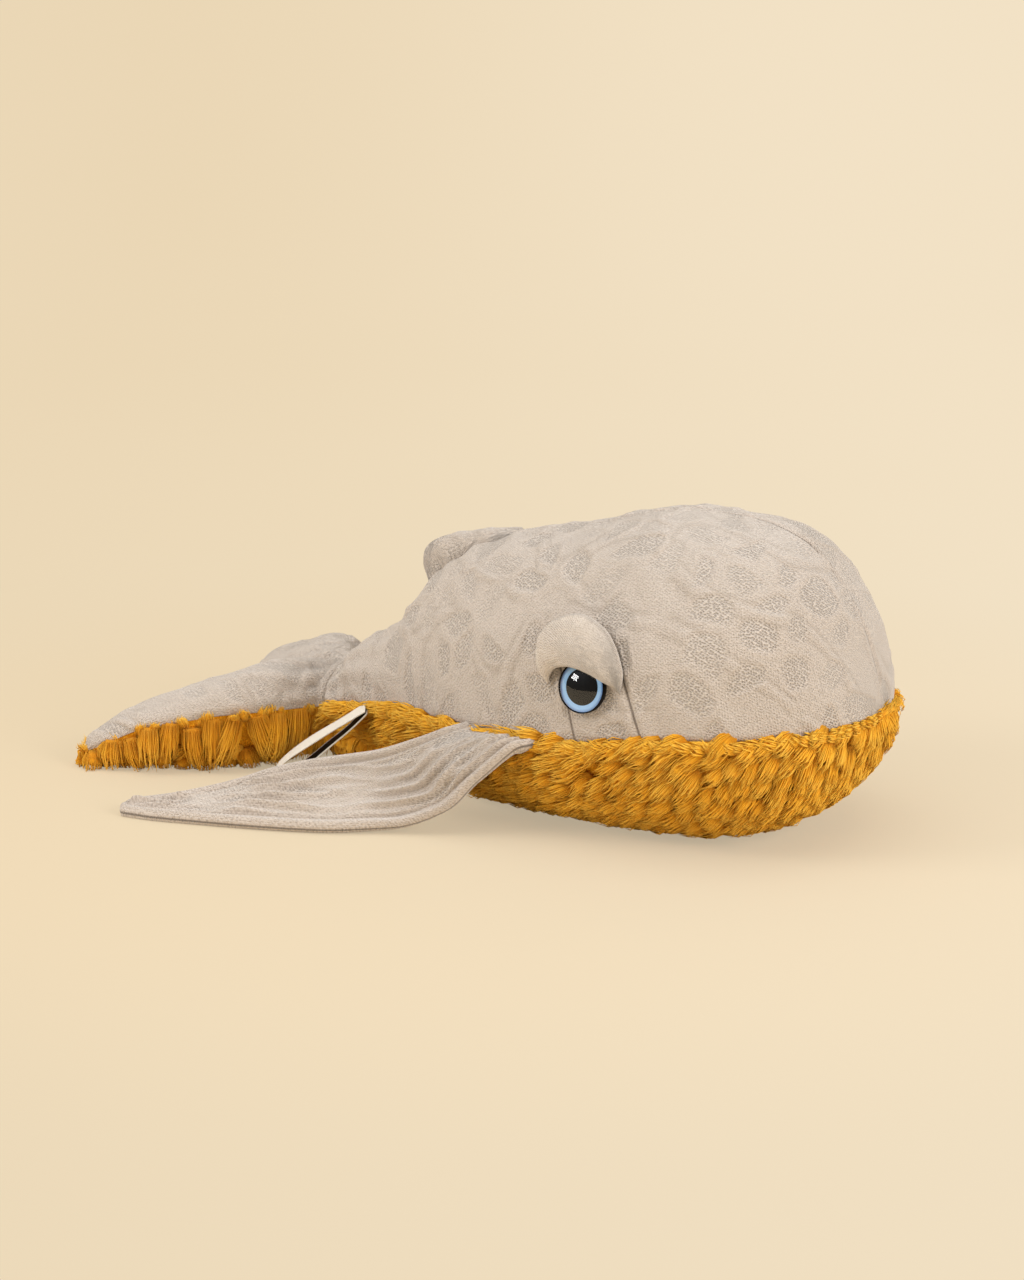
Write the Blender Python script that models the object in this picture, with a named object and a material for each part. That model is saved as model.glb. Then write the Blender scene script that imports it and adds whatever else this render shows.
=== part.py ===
# Plush whale: knitted back, tufted fur belly, sewn fins, stuffed tail flukes and glossy eyes.
# +X is the nose, +Y the whale's left, +Z up, origin on the floor under the middle of its length.

import math

import bmesh
import bpy
from mathutils import Vector
from mathutils.bvhtree import BVHTree

# Driving dimensions, in metres
BODY_LENGTH = 0.302
BODY_HALF_WIDTH = 0.0805
BODY_HEIGHT = 0.155
TAIL_LENGTH = 0.108
FLUKE_HALF_SPAN = 0.0885
FLUKE_HEIGHT = 0.0555
STOCK_RADIUS = 0.021
STOCK_HALF_WIDTH = 0.026
STOCK_AXIS_HEIGHT = 0.034
STOCK_SEAM_RISE = 0.003
KNIT_THICKNESS = 0.0015
FUR_THICKNESS = 0.008
FLUKE_FUR_THICKNESS = 0.004
SEAM_GAP = 0.0003
PADDING_GAP = 0.0006
TAIL_RUNNING_GAP = 0.0010
BELLY_FLAT_DEPTH = 0.0012
FLUKE_FLAT_DEPTH = 0.0005
FIN_SWEEP = 0.205
FIN_REACH = 0.147
FIN_ROOT_HEIGHT = 0.051
FIN_LAYER_THICKNESS = 0.002
FIN_PUFF = 0.0015
DORSAL_HALF_WIDTH = 0.011
EYE_RADIUS = 0.0124
EYE_LENS_RADIUS = 0.0120
EYE_LENS_RIM = 0.0010
EYE_DOME_HEIGHT = 0.0048
IRIS_RADIUS = 0.0114
PUPIL_RADIUS = 0.0082
PAINT_THICKNESS = 0.0004
EYE_BACK_THICKNESS = 0.0012
STEM_RADIUS = 0.0025
STEM_LENGTH = 0.014
WASHER_RADIUS = 0.008
WASHER_THICKNESS = 0.0012
WASHER_CLEARANCE = 0.0011
LID_HALF_WIDTH = 0.0205
LID_THICKNESS = 0.0115
LID_CLEARANCE = 0.0010
LID_COVER_THICKNESS = 0.001
RIBBON_WIDTH = 0.010
RIBBON_THICKNESS = 0.0006
RIBBON_LOOP_DROP = 0.038
RIBBON_LOOP_BACK = 0.046
RIBBON_LOOP_OUT = 0.014
RIBBON_LOOP_SPREAD = 0.0045
RIBBON_STAND_OFF = 0.0025

TAIL_SEAM_X = TAIL_LENGTH - (BODY_LENGTH + TAIL_LENGTH) / 2

# Where the fins stand, in body lengths from the tail seam, and how long the dorsal fin is
FIN_FRONT_SHARE = 0.5364
DORSAL_TIP_SHARE = 0.1606
DORSAL_LENGTH_SHARE = 0.2053

# Fractions that shape the whole toy
UPPER_ROUNDNESS_SHARE = 0.92
LOWER_ROUNDNESS_SHARE = 0.90
SOCKET_LIP_ANGLE = math.radians(60)

# Along the body from the tail seam: length, half width, seam height, top height, bottom height
BODY_SHARES = (
    (0.050, 0.360, 0.265, 0.413, 0.058),
    (0.126, 0.435, 0.284, 0.510, 0.019),
    (0.195, 0.559, 0.303, 0.672, 0.000),
    (0.265, 0.683, 0.325, 0.787, 0.000),
    (0.364, 0.832, 0.337, 0.862, 0.000),
    (0.464, 0.932, 0.329, 0.900, 0.000),
    (0.579, 0.994, 0.342, 0.961, 0.000),
    (0.679, 1.000, 0.377, 1.000, 0.000),
    (0.778, 0.957, 0.400, 0.990, 0.016),
    (0.861, 0.845, 0.408, 0.942, 0.065),
    (0.934, 0.646, 0.415, 0.800, 0.155),
    (0.977, 0.398, 0.419, 0.652, 0.265),
    (0.997, 0.161, 0.420, 0.510, 0.355),
    (1.000, 0.000, 0.420, 0.420, 0.420),
)

# Behind the tail seam: length, outer edge, inner edge, crest line, each as a share of the half span;
# then seam, crest, valley, bottom and bottom valley heights, each as a share of the fluke height
FLUKE_SHARES = (
    (0.075, 0.400, 0.000, 0.130, 0.660, 1.000, 0.935, 0.160, 0.190),
    (0.165, 0.550, 0.000, 0.245, 0.632, 0.975, 0.810, 0.070, 0.250),
    (0.260, 0.655, 0.000, 0.320, 0.596, 0.920, 0.690, 0.015, 0.370),
    (0.345, 0.725, 0.000, 0.385, 0.560, 0.865, 0.560, 0.000, 0.560),
    (0.465, 0.803, 0.090, 0.463, 0.514, 0.778, 0.514, 0.000, 0.514),
    (0.585, 0.870, 0.203, 0.553, 0.460, 0.700, 0.460, 0.000, 0.460),
    (0.705, 0.927, 0.328, 0.655, 0.396, 0.612, 0.396, 0.000, 0.396),
    (0.815, 0.972, 0.475, 0.745, 0.324, 0.512, 0.324, 0.000, 0.324),
    (0.907, 1.000, 0.644, 0.836, 0.252, 0.388, 0.252, 0.010, 0.252),
    (0.972, 1.000, 0.802, 0.910, 0.190, 0.270, 0.190, 0.060, 0.190),
    (1.000, 0.950, 0.950, 0.950, 0.162, 0.162, 0.162, 0.162, 0.162),
)

# Along the fin from its root: sweep, reach and height of the front edge, then of the back edge
FIN_SHARES = (
    (0.000, 0.5535, 1.000, 0.244, 0.4825, 0.980),
    (0.059, 0.589, 0.784, 0.293, 0.521, 0.902),
    (0.137, 0.616, 0.470, 0.361, 0.556, 0.804),
    (0.215, 0.640, 0.196, 0.434, 0.578, 0.696),
    (0.341, 0.710, 0.055, 0.517, 0.594, 0.608),
    (0.488, 0.823, 0.047, 0.605, 0.612, 0.510),
    (0.644, 0.901, 0.047, 0.693, 0.650, 0.392),
    (0.780, 0.952, 0.047, 0.776, 0.724, 0.255),
    (0.907, 0.993, 0.047, 0.888, 0.820, 0.127),
    (0.972, 1.000, 0.047, 0.968, 0.882, 0.070),
    (0.996, 0.974, 0.049, 0.996, 0.920, 0.060),
)

# Along the dorsal fin from its tip: length, half width, then top and underside in body heights
DORSAL_SHARES = (
    (0.000, 0.000, 0.735, 0.735),
    (0.030, 0.400, 0.765, 0.705),
    (0.110, 0.650, 0.792, 0.650),
    (0.250, 0.900, 0.815, 0.000),
    (0.450, 1.000, 0.834, 0.000),
    (0.700, 0.800, 0.851, 0.000),
    (0.900, 0.450, 0.862, 0.000),
    (1.000, 0.000, 0.000, 0.000),
)

# Over the eye from its back corner to its front one: the lip's forward and up, the hood's outline
# forward and up, each in half widths of the hood, and how full it is
LID_SHARES = (
    (-0.96, -0.10, -0.96, -0.10, 0.00),
    (-0.84, 0.18, -1.22, 0.32, 0.55),
    (-0.62, 0.38, -1.26, 0.88, 0.85),
    (-0.32, 0.47, -0.90, 1.42, 0.98),
    (0.00, 0.47, -0.25, 1.64, 1.00),
    (0.32, 0.40, 0.42, 1.42, 0.98),
    (0.62, 0.27, 0.86, 0.95, 0.85),
    (0.84, 0.12, 1.06, 0.42, 0.55),
    (0.97, -0.04, 0.97, -0.04, 0.00),
)

# How much of a thin place its fabric may take, and the sewn edge of a fin
THIN_SHARE = 0.25
FIN_EDGE_SHARE = 0.35
NOSE_TAPER_SHARE = 0.25
RIBBON_SEAM_SHARE = 0.135

# Where the eye sits, and the cheek panel under it
EYE_ROW_SHARE = 0.502
EYE_ANGLE = math.radians(14.5)
CHEEK_FRONT_ROW_SHARE = 0.562
CHEEK_BACK_ROW_SHARE = 0.475
CHEEK_TOP_ANGLE = math.radians(24)
CHEEK_LEAN_SHARE = 0.026
CHEEK_LEAN_SPREAD_SHARE = 0.12

# Facets
ROWS_BEHIND_CHEEK = 12
CHEEK_ROWS = 3
ROWS_BEFORE_CHEEK = 11
PANEL_COLUMNS = 9
CHEEK_COLUMNS = 3
BELLY_COLUMNS = 8
SOCKET_RINGS = 5
POD_ROWS = 5
LOBE_ROWS = 9
TAIL_NOSE_ROWS = 6
LOBE_COLUMNS = 8
FIN_ROWS = 16
FIN_COLUMNS = 6
EYE_SIDES = 20
DOME_RINGS = 4
LID_ARCH_STEPS = 14
LID_SECTION_STEPS = 10
DORSAL_ROWS = 14
DORSAL_COLUMNS = 8
RIBBON_STEPS = 18
SOLVER_STEPS = 24
NEAREST_STEPS = 6
PILE_SMOOTHING = 4
SMALL_SHARE = 1e-3

FABRIC_GREY = (0.60, 0.54, 0.47)
JERSEY_GREY = (0.66, 0.59, 0.52)
FUR_MUSTARD = (0.62, 0.32, 0.04)
STUFFING_WHITE = (0.85, 0.84, 0.80)
IRIS_BLUE = (0.22, 0.42, 0.75)
PLASTIC_BLACK = (0.01, 0.01, 0.012)
WASHER_WHITE = (0.80, 0.80, 0.78)
LENS_CLEAR = (0.95, 0.97, 1.0)
RIBBON_CREAM = (0.80, 0.76, 0.66)


# Scene and materials
for old in list(bpy.data.objects):
    bpy.data.objects.remove(old, do_unlink=True)


def make_material(name, colour, roughness, metallic=0.0):
    material = bpy.data.materials.new(name)
    material.use_nodes = True
    shader = material.node_tree.nodes["Principled BSDF"]
    shader.inputs["Base Color"].default_value = (*colour, 1.0)
    shader.inputs["Roughness"].default_value = roughness
    shader.inputs["Metallic"].default_value = metallic
    return material


knit = make_material("jacquard_knit", FABRIC_GREY, 0.95)
jersey = make_material("plain_jersey", JERSEY_GREY, 0.95)
fur = make_material("mustard_fur", FUR_MUSTARD, 0.9)
stuffing = make_material("fibre_stuffing", STUFFING_WHITE, 1.0)
iris_paint = make_material("iris_paint", IRIS_BLUE, 0.25)
black_plastic = make_material("black_plastic", PLASTIC_BLACK, 0.2)
white_plastic = make_material("white_plastic", WASHER_WHITE, 0.5)
clear_plastic = make_material("clear_plastic", LENS_CLEAR, 0.03)
ribbon_cloth = make_material("ribbon", RIBBON_CREAM, 0.8)


def make_object(name, bm, material, origin=None):
    """Keeps the shape where it is and puts the object's origin on its joint axis."""
    bmesh.ops.recalc_face_normals(bm, faces=bm.faces)
    if bm.calc_volume(signed=True) < 0:
        bmesh.ops.reverse_faces(bm, faces=bm.faces)
    place = Vector(origin) if origin is not None else Vector()
    bmesh.ops.translate(bm, verts=bm.verts, vec=-place)
    mesh = bpy.data.meshes.new(name)
    bm.to_mesh(mesh)
    bm.free()
    mesh.shade_smooth()
    mesh.set_sharp_from_angle(angle=math.radians(50))
    mesh.materials.append(material)
    obj = bpy.data.objects.new(name, mesh)
    obj.location = place
    bpy.context.scene.collection.objects.link(obj)
    return obj


# Curves through tables
def slopes(values):
    """Slopes that never overshoot, for evenly spaced values."""
    steps = [b - a for a, b in zip(values[:-1], values[1:])]
    inner = [
        2 * a * b / (a + b) if a * b > 0 else 0.0 for a, b in zip(steps[:-1], steps[1:])
    ]
    return [steps[0], *inner, steps[-1]]


class Profile:
    """A smooth row of sizes at any share, from 0 to 1, of the way along a table."""

    def __init__(self, rows):
        self.columns = [list(column) for column in zip(*rows)]
        self.slopes = [slopes(column) for column in self.columns]
        self.spans = len(rows) - 1

    def at(self, share):
        place = min(max(share, 0.0), 1.0) * self.spans
        i = min(int(place), self.spans - 1)
        t = place - i
        found = []
        for column, slope in zip(self.columns, self.slopes):
            found.append(
                (1 + 2 * t) * (1 - t) ** 2 * column[i]
                + t * (1 - t) ** 2 * slope[i]
                + t * t * (3 - 2 * t) * column[i + 1]
                + t * t * (t - 1) * slope[i + 1]
            )
        return found


def rounded(value, share):
    """A sine or cosine made a little squarer, with its sign kept."""
    return math.copysign(abs(value) ** share, value)


# The body's outer form: a closed skin of rows from the tail seam to the nose
body_rows = [
    (
        0.0,
        STOCK_HALF_WIDTH,
        STOCK_AXIS_HEIGHT + STOCK_SEAM_RISE,
        STOCK_AXIS_HEIGHT + STOCK_RADIUS,
        STOCK_AXIS_HEIGHT - STOCK_RADIUS,
    )
] + [
    (
        along * BODY_LENGTH,
        width * BODY_HALF_WIDTH,
        seam * BODY_HEIGHT,
        top * BODY_HEIGHT,
        bottom * BODY_HEIGHT - BELLY_FLAT_DEPTH,
    )
    for along, width, seam, top, bottom in BODY_SHARES
]
body_profile = Profile(body_rows)


def body_point(share, angle):
    """On the skin. Angle 0 is the right seam, 90 degrees the ridge, 180 the left seam."""
    along, width, seam, top, bottom = body_profile.at(share)
    rise = math.sin(angle)
    squareness = UPPER_ROUNDNESS_SHARE if rise > 0 else LOWER_ROUNDNESS_SHARE
    height = top - seam if rise > 0 else seam - bottom
    return Vector(
        (
            TAIL_SEAM_X + along,
            -width * rounded(math.cos(angle), squareness),
            max(seam + height * rounded(rise, squareness), 0.0),
        )
    )


def socket_x(height):
    """How far the body's end is hollowed to take the round front of the tail."""
    radius = STOCK_RADIUS + TAIL_RUNNING_GAP
    off_axis = abs(height - STOCK_AXIS_HEIGHT)
    if off_axis < radius * math.sin(SOCKET_LIP_ANGLE):
        return TAIL_SEAM_X + math.sqrt(radius**2 - off_axis**2)
    return TAIL_SEAM_X + off_axis / math.tan(SOCKET_LIP_ANGLE)


def socket_share(angle):
    """Where along the profile the skin meets the socket."""
    low, high = 0.0, EYE_ROW_SHARE
    for _ in range(SOLVER_STEPS):
        middle = (low + high) / 2
        point = body_point(middle, angle)
        if point.x < socket_x(point.z):
            low = middle
        else:
            high = middle
    return (low + high) / 2


def row_share(row, angle):
    """Rows start at the socket and lean forward below the eye, as the cheek seams do."""
    share = row + socket_share(angle) * (1 - row) ** 3
    over_seam = abs(math.asin(math.sin(angle)))
    if math.sin(angle) >= 0:
        fade = max(0.0, 1 - over_seam / CHEEK_TOP_ANGLE)
    else:
        fade = math.cos(angle) ** 2
    near_eye = math.exp(-(((row - EYE_ROW_SHARE) / CHEEK_LEAN_SPREAD_SHARE) ** 2))
    return share + CHEEK_LEAN_SHARE * fade * near_eye


def spread(low, high, steps):
    return [low + (high - low) * i / steps for i in range(steps + 1)]


def joined(*runs):
    whole = list(runs[0])
    for run in runs[1:]:
        whole += run[1:]
    return whole


body_row_shares = joined(
    spread(0.0, CHEEK_BACK_ROW_SHARE, ROWS_BEHIND_CHEEK),
    spread(CHEEK_BACK_ROW_SHARE, CHEEK_FRONT_ROW_SHARE, CHEEK_ROWS),
    spread(CHEEK_FRONT_ROW_SHARE, 1.0, ROWS_BEFORE_CHEEK),
)
upper_angles = joined(
    spread(0.0, CHEEK_TOP_ANGLE, CHEEK_COLUMNS),
    spread(CHEEK_TOP_ANGLE, math.pi / 2, PANEL_COLUMNS - CHEEK_COLUMNS),
)
lower_angles = spread(0.0, -math.pi / 2, BELLY_COLUMNS)


def halves(corners):
    """Triangles across the shorter diagonal, so that every layer folds along the same lines."""
    if len(corners) < 4:
        return [corners] if len(corners) == 3 else []
    a, b, c, d = corners
    if (a.co - c.co).length < (b.co - d.co).length:
        return [(a, b, c), (a, c, d)]
    return [(a, b, d), (b, c, d)]


class Skin:
    """A closed skin of patches that share their edges, with a tag on each face."""

    def __init__(self):
        self.bm = bmesh.new()
        self.found = {}
        self.tags = {}

    def corner(self, point):
        key = tuple(round(value / (SEAM_GAP * SMALL_SHARE)) for value in point)
        if key not in self.found:
            self.found[key] = self.bm.verts.new(point)
        return self.found[key]

    def patch(self, grid, tag):
        for i in range(len(grid) - 1):
            for j in range(len(grid[i]) - 1):
                around = (grid[i][j], grid[i][j + 1], grid[i + 1][j + 1], grid[i + 1][j])
                corners = []
                for point in around:
                    vert = self.corner(point)
                    if vert not in corners:
                        corners.append(vert)
                for face in halves(corners):
                    twin = self.bm.faces.get(face)
                    if twin is None:
                        self.tags[self.bm.faces.new(face)] = tag(i, j) if callable(tag) else tag
                    else:
                        del self.tags[twin]
                        self.bm.faces.remove(twin)

    def ready(self):
        for edge in [edge for edge in self.bm.edges if not edge.link_faces]:
            self.bm.edges.remove(edge)
        for vert in [vert for vert in self.bm.verts if not vert.link_faces]:
            self.bm.verts.remove(vert)
        bmesh.ops.recalc_face_normals(self.bm, faces=self.bm.faces)
        self.bm.normal_update()


def sheet(skin, wanted, outside, inside):
    """One fabric piece: the faces with a wanted tag, from depth outside to depth inside."""
    bm = bmesh.new()
    faces = [face for face in skin.bm.faces if skin.tags[face] in wanted]
    verts = {vert for face in faces for vert in face.verts}
    outer = {vert: bm.verts.new(vert.co - vert.normal * outside(vert)) for vert in verts}
    inner = {vert: bm.verts.new(vert.co - vert.normal * inside(vert)) for vert in verts}
    for face in faces:
        bm.faces.new([outer[vert] for vert in face.verts])
        bm.faces.new([inner[vert] for vert in reversed(face.verts)])
    kept = set(faces)
    for edge in {edge for face in faces for edge in face.edges}:
        if len(kept.intersection(edge.link_faces)) == 1:
            a, b = edge.verts
            bm.faces.new((outer[a], outer[b], inner[b], inner[a]))
    return bm


def core(skin, depth):
    """The stuffing: the whole skin moved inwards."""
    bm = bmesh.new()
    moved = {vert: bm.verts.new(vert.co - vert.normal * depth(vert)) for vert in skin.bm.verts}
    for face in skin.bm.faces:
        bm.faces.new([moved[vert] for vert in face.verts])
    return bm


body_skin = Skin()
for side, near_seam in (("right", 0.0), ("left", math.pi)):
    facing = 1 if side == "right" else -1
    upper, lower = (
        [[body_point(row_share(row, turn), turn) for turn in turns] for row in body_row_shares]
        for turns in (
            [near_seam + facing * angle for angle in upper_angles],
            [near_seam + facing * angle for angle in lower_angles],
        )
    )

    def upper_tag(i, j, side=side):
        in_cheek = ROWS_BEHIND_CHEEK <= i < ROWS_BEHIND_CHEEK + CHEEK_ROWS
        return ("cheek_" if in_cheek and j < CHEEK_COLUMNS else "back_") + side

    body_skin.patch(upper, upper_tag)
    body_skin.patch(lower, "belly")
    # The hollow end, in rings that shrink towards the stock's axis
    rim = upper[0][::-1] + lower[0][1:]
    rings = []
    for turn in spread(SOCKET_LIP_ANGLE, 0.0, SOCKET_RINGS):
        shrink = math.sin(turn) / math.sin(SOCKET_LIP_ANGLE)
        ring = []
        for point in rim:
            height = STOCK_AXIS_HEIGHT + (point.z - STOCK_AXIS_HEIGHT) * shrink
            ring.append(Vector((socket_x(height), point.y * shrink, height)))
        rings.append(ring if rings else rim)
    body_skin.patch(rings, "end")
body_skin.ready()


def on_skin(_):
    return 0.0


def knit_depth(_):
    return KNIT_THICKNESS


def share_at(profile, along):
    """The share of the way along a profile at which it reaches a length."""
    low, high = 0.0, 1.0
    for _ in range(SOLVER_STEPS):
        middle = (low + high) / 2
        if profile.at(middle)[0] < along:
            low = middle
        else:
            high = middle
    return low


def room_inside(skin):
    """From each corner, straight in to the far side: thin places take thin fabric."""
    tree = BVHTree.FromBMesh(skin.bm)
    room = {}
    for vert in skin.bm.verts:
        found = tree.ray_cast(vert.co - vert.normal * SEAM_GAP, -vert.normal)
        room[vert] = max(found[3] or 0.0, KNIT_THICKNESS)
    return room


def belly_depth(vert):
    """The pile lies thin at the seams and stands full under the belly."""
    along = vert.co.x - TAIL_SEAM_X
    _, _, seam, _, bottom = body_profile.at(share_at(body_profile, along))
    below = min(max((seam - vert.co.z) / max(seam - bottom, SEAM_GAP), 0.0), 1.0)
    from_tail = min(max(along / STOCK_RADIUS - 1, 0.0), 1.0)
    fullness = math.sin(below * math.pi / 2) * from_tail
    return KNIT_THICKNESS + (FUR_THICKNESS - KNIT_THICKNESS) * fullness


def body_core_depth(vert):
    """The socket's own wall stays where it is, because no fabric lies over it."""
    in_socket = all(body_skin.tags[face] == "end" for face in vert.link_faces)
    return 0.0 if in_socket else belly_depth(vert) + SEAM_GAP


def shift(bm, along):
    bmesh.ops.translate(bm, verts=bm.verts, vec=along)


half_gap = SEAM_GAP / 2
belly_bm = sheet(body_skin, {"belly"}, on_skin, belly_depth)
make_object("belly_panel", belly_bm, fur)
body_core = make_object("body_stuffing", core(body_skin, body_core_depth), stuffing)
cheeks = {}
for side, outward in (("right", -1), ("left", 1)):
    panel = sheet(body_skin, {"back_" + side}, on_skin, knit_depth)
    shift(panel, (0, outward * half_gap, SEAM_GAP))
    make_object("back_panel_" + side, panel, knit)
    cheek = sheet(body_skin, {"cheek_" + side}, on_skin, knit_depth)
    middle = sum((vert.co for vert in cheek.verts), Vector()) / len(cheek.verts)
    for vert in cheek.verts:
        vert.co += (middle - vert.co).normalized() * 2 * SEAM_GAP
    shift(cheek, (0, outward * half_gap, SEAM_GAP))
    cheeks[side] = make_object("cheek_panel_" + side, cheek, knit)


def body_top(x, y):
    """The height of the knit's outside above a place near the ridge."""
    _, width, seam, top, _ = body_profile.at(share_at(body_profile, x - TAIL_SEAM_X))
    cosine = min(abs(y) / width, 1.0) ** (1 / UPPER_ROUNDNESS_SHARE)
    return seam + (top - seam) * math.sqrt(1 - cosine**2) ** UPPER_ROUNDNESS_SHARE


# The dorsal fin: a small stuffed hook sewn over the ridge, its tip pointing back
dorsal_rows = [
    (
        (DORSAL_TIP_SHARE + along * DORSAL_LENGTH_SHARE) * BODY_LENGTH,
        width * DORSAL_HALF_WIDTH,
        top * BODY_HEIGHT,
        under * BODY_HEIGHT,
    )
    for along, width, top, under in DORSAL_SHARES
]
dorsal_profile = Profile(dorsal_rows)
dorsal_skin = Skin()
arches = []
bases = []
for row in spread(0.0, 1.0, DORSAL_ROWS):
    along, half_width, top, under = dorsal_profile.at(row)
    x = TAIL_SEAM_X + along
    turns = spread(0.0, math.pi, DORSAL_COLUMNS)
    seats = [max(body_top(x, half_width * math.cos(t)) + 2 * SEAM_GAP, under) for t in turns]
    crown = max(top - max(seats), KNIT_THICKNESS * math.sin(math.pi * row))
    arch = []
    for t, seat in zip(turns, seats):
        arch.append(Vector((x, half_width * math.cos(t), seat + crown * math.sin(t))))
    arches.append(arch)
    bases.append([arch[0], arch[-1]])
dorsal_skin.patch(arches, "cover")
dorsal_skin.patch(bases, "base")
dorsal_skin.ready()


def padding(skin, cover_depth):
    """The filling under a sewn cover."""
    room = room_inside(skin)
    return core(skin, lambda vert: min(cover_depth + PADDING_GAP, 2 * THIN_SHARE * room[vert]))


def covering(skin, cover_depth):
    """The sewn cover itself, thinner where the piece is thin."""
    room = room_inside(skin)
    return sheet(skin, {"cover"}, on_skin, lambda vert: min(cover_depth, THIN_SHARE * room[vert]))


make_object("dorsal_fin_cover", covering(dorsal_skin, KNIT_THICKNESS), knit)
make_object("dorsal_fin_stuffing", padding(dorsal_skin, KNIT_THICKNESS), stuffing)

# The tail: one pod of two swept lobes, with a round front that turns in the body's socket
_, _, stock_seam, stock_top, stock_bottom = body_rows[0]
fluke_rows = [
    (
        0.0,
        STOCK_HALF_WIDTH,
        0.0,
        0.0,
        stock_seam,
        stock_top,
        stock_top,
        stock_bottom,
        stock_bottom,
    )
]
notch_row = len(FLUKE_SHARES)
for along, outer, inner, crest_line, seam, crest, valley, bottom, bottom_valley in FLUKE_SHARES:
    if valley == bottom_valley:
        notch_row = min(notch_row, len(fluke_rows))
    fluke_rows.append(
        (
            along * TAIL_LENGTH,
            outer * FLUKE_HALF_SPAN,
            inner * FLUKE_HALF_SPAN,
            crest_line * FLUKE_HALF_SPAN,
            seam * FLUKE_HEIGHT,
            crest * FLUKE_HEIGHT,
            valley * FLUKE_HEIGHT,
            bottom * FLUKE_HEIGHT - (FLUKE_FLAT_DEPTH if bottom < seam else 0.0),
            bottom_valley * FLUKE_HEIGHT,
        )
    )
fluke_profile = Profile(fluke_rows)
notch_share = notch_row / fluke_profile.spans


def fluke_point(share, angle):
    """Half a pod. Angle 0 is the outer seam, 180 degrees the inner one, negative is below."""
    along, outer, inner, crest_line, seam, crest, valley, bottom, bottom_valley = fluke_profile.at(share)
    swing, rise = math.cos(angle), abs(math.sin(angle))
    y = crest_line + swing * ((outer - crest_line) if swing > 0 else (crest_line - inner))
    peak, dip = (crest, valley) if angle >= 0 else (bottom, bottom_valley)
    start = seam if swing > 0 or share > notch_share else dip
    return Vector((TAIL_SEAM_X - along, y, max(start + (peak - start) * rise, 0.0)))


def nose_point(turn, angle):
    """The pod's round front: the stock's section, cut by a cylinder about the tail's axis."""
    swing = max(math.cos(angle), 0.0)
    rise = math.sqrt(1 - swing**2)
    tall = min(rise, math.sin(turn)) * math.copysign(STOCK_RADIUS, angle)
    return Vector(
        (
            TAIL_SEAM_X + STOCK_RADIUS * math.cos(turn),
            STOCK_HALF_WIDTH * swing * (1 - NOSE_TAPER_SHARE * math.cos(turn) ** 2),
            STOCK_AXIS_HEIGHT + tall + STOCK_SEAM_RISE * math.sin(turn) * (1 - rise),
        )
    )


tail_skin = Skin()
lobe_angles = spread(0.0, math.pi, 2 * LOBE_COLUMNS)
nose_turns = spread(0.0, math.pi / 2, TAIL_NOSE_ROWS)[:-1]
pod_shares = joined(spread(0.0, notch_share, POD_ROWS), spread(notch_share, 1.0, LOBE_ROWS))
for handed in (-1, 1):
    for sign, tag in ((1, "cover"), (-1, "underside")):
        grid = [[nose_point(turn, sign * a) for a in lobe_angles] for turn in nose_turns]
        grid += [[fluke_point(share, sign * a) for a in lobe_angles] for share in pod_shares]
        for line in grid:
            for point in line:
                point.y *= handed
        tail_skin.patch(grid, tag)
tail_skin.ready()
tail_room = room_inside(tail_skin)


def fluke_knit_depth(vert):
    return min(KNIT_THICKNESS, THIN_SHARE * tail_room[vert])


pile = {}
around = {}
for vert in tail_skin.bm.verts:
    pile[vert] = KNIT_THICKNESS + (FLUKE_FUR_THICKNESS - KNIT_THICKNESS) * max(-vert.normal.z, 0.0)
    around[vert] = [edge.other_vert(vert) for edge in vert.link_edges]
for _ in range(PILE_SMOOTHING):
    before = dict(pile)
    for vert, near in around.items():
        pile[vert] = (before[vert] + sum(before[other] for other in near) / len(near)) / 2


def fluke_fur_depth(vert):
    return min(pile[vert], THIN_SHARE * tail_room[vert])


def tail_core_depth(vert):
    return fluke_fur_depth(vert) + min(PADDING_GAP, THIN_SHARE * tail_room[vert])


tail_axis = (TAIL_SEAM_X, 0.0, STOCK_AXIS_HEIGHT)
cover = sheet(tail_skin, {"cover"}, on_skin, fluke_knit_depth)
shift(cover, (0, 0, SEAM_GAP))
make_object("fluke_cover", cover, knit, tail_axis)
make_object("fluke_underside", sheet(tail_skin, {"underside"}, on_skin, fluke_fur_depth), fur, tail_axis)
make_object("fluke_stuffing", core(tail_skin, tail_core_depth), stuffing, tail_axis)


# The pectoral fins: two layers each, sewn round the edge, turning at a straight root
fin_front_x = TAIL_SEAM_X + FIN_FRONT_SHARE * BODY_LENGTH
fin_rows = [
    (
        fin_front_x - front_sweep * FIN_SWEEP,
        -front_reach * FIN_REACH,
        front_height * FIN_ROOT_HEIGHT,
        fin_front_x - back_sweep * FIN_SWEEP,
        -back_reach * FIN_REACH,
        back_height * FIN_ROOT_HEIGHT,
    )
    for front_sweep, front_reach, front_height, back_sweep, back_reach, back_height in FIN_SHARES
]
fin_profile = Profile(fin_rows)


def fin_edges(share):
    """The front and back edge of the right fin, at a share of the way from its root."""
    place = fin_profile.at(share)
    return Vector(place[:3]), Vector(place[3:])


def fin_middle(share, across):
    front, back = fin_edges(share)
    return front.lerp(back, across)


def fin_normal(share, across):
    """Outwards and up from the fin's middle surface."""
    step = SMALL_SHARE if share < 1 else -SMALL_SHARE
    along = (fin_middle(share + step, across) - fin_middle(share, across)) / step
    front, back = fin_edges(share)
    return along.cross(back - front).normalized()


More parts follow.
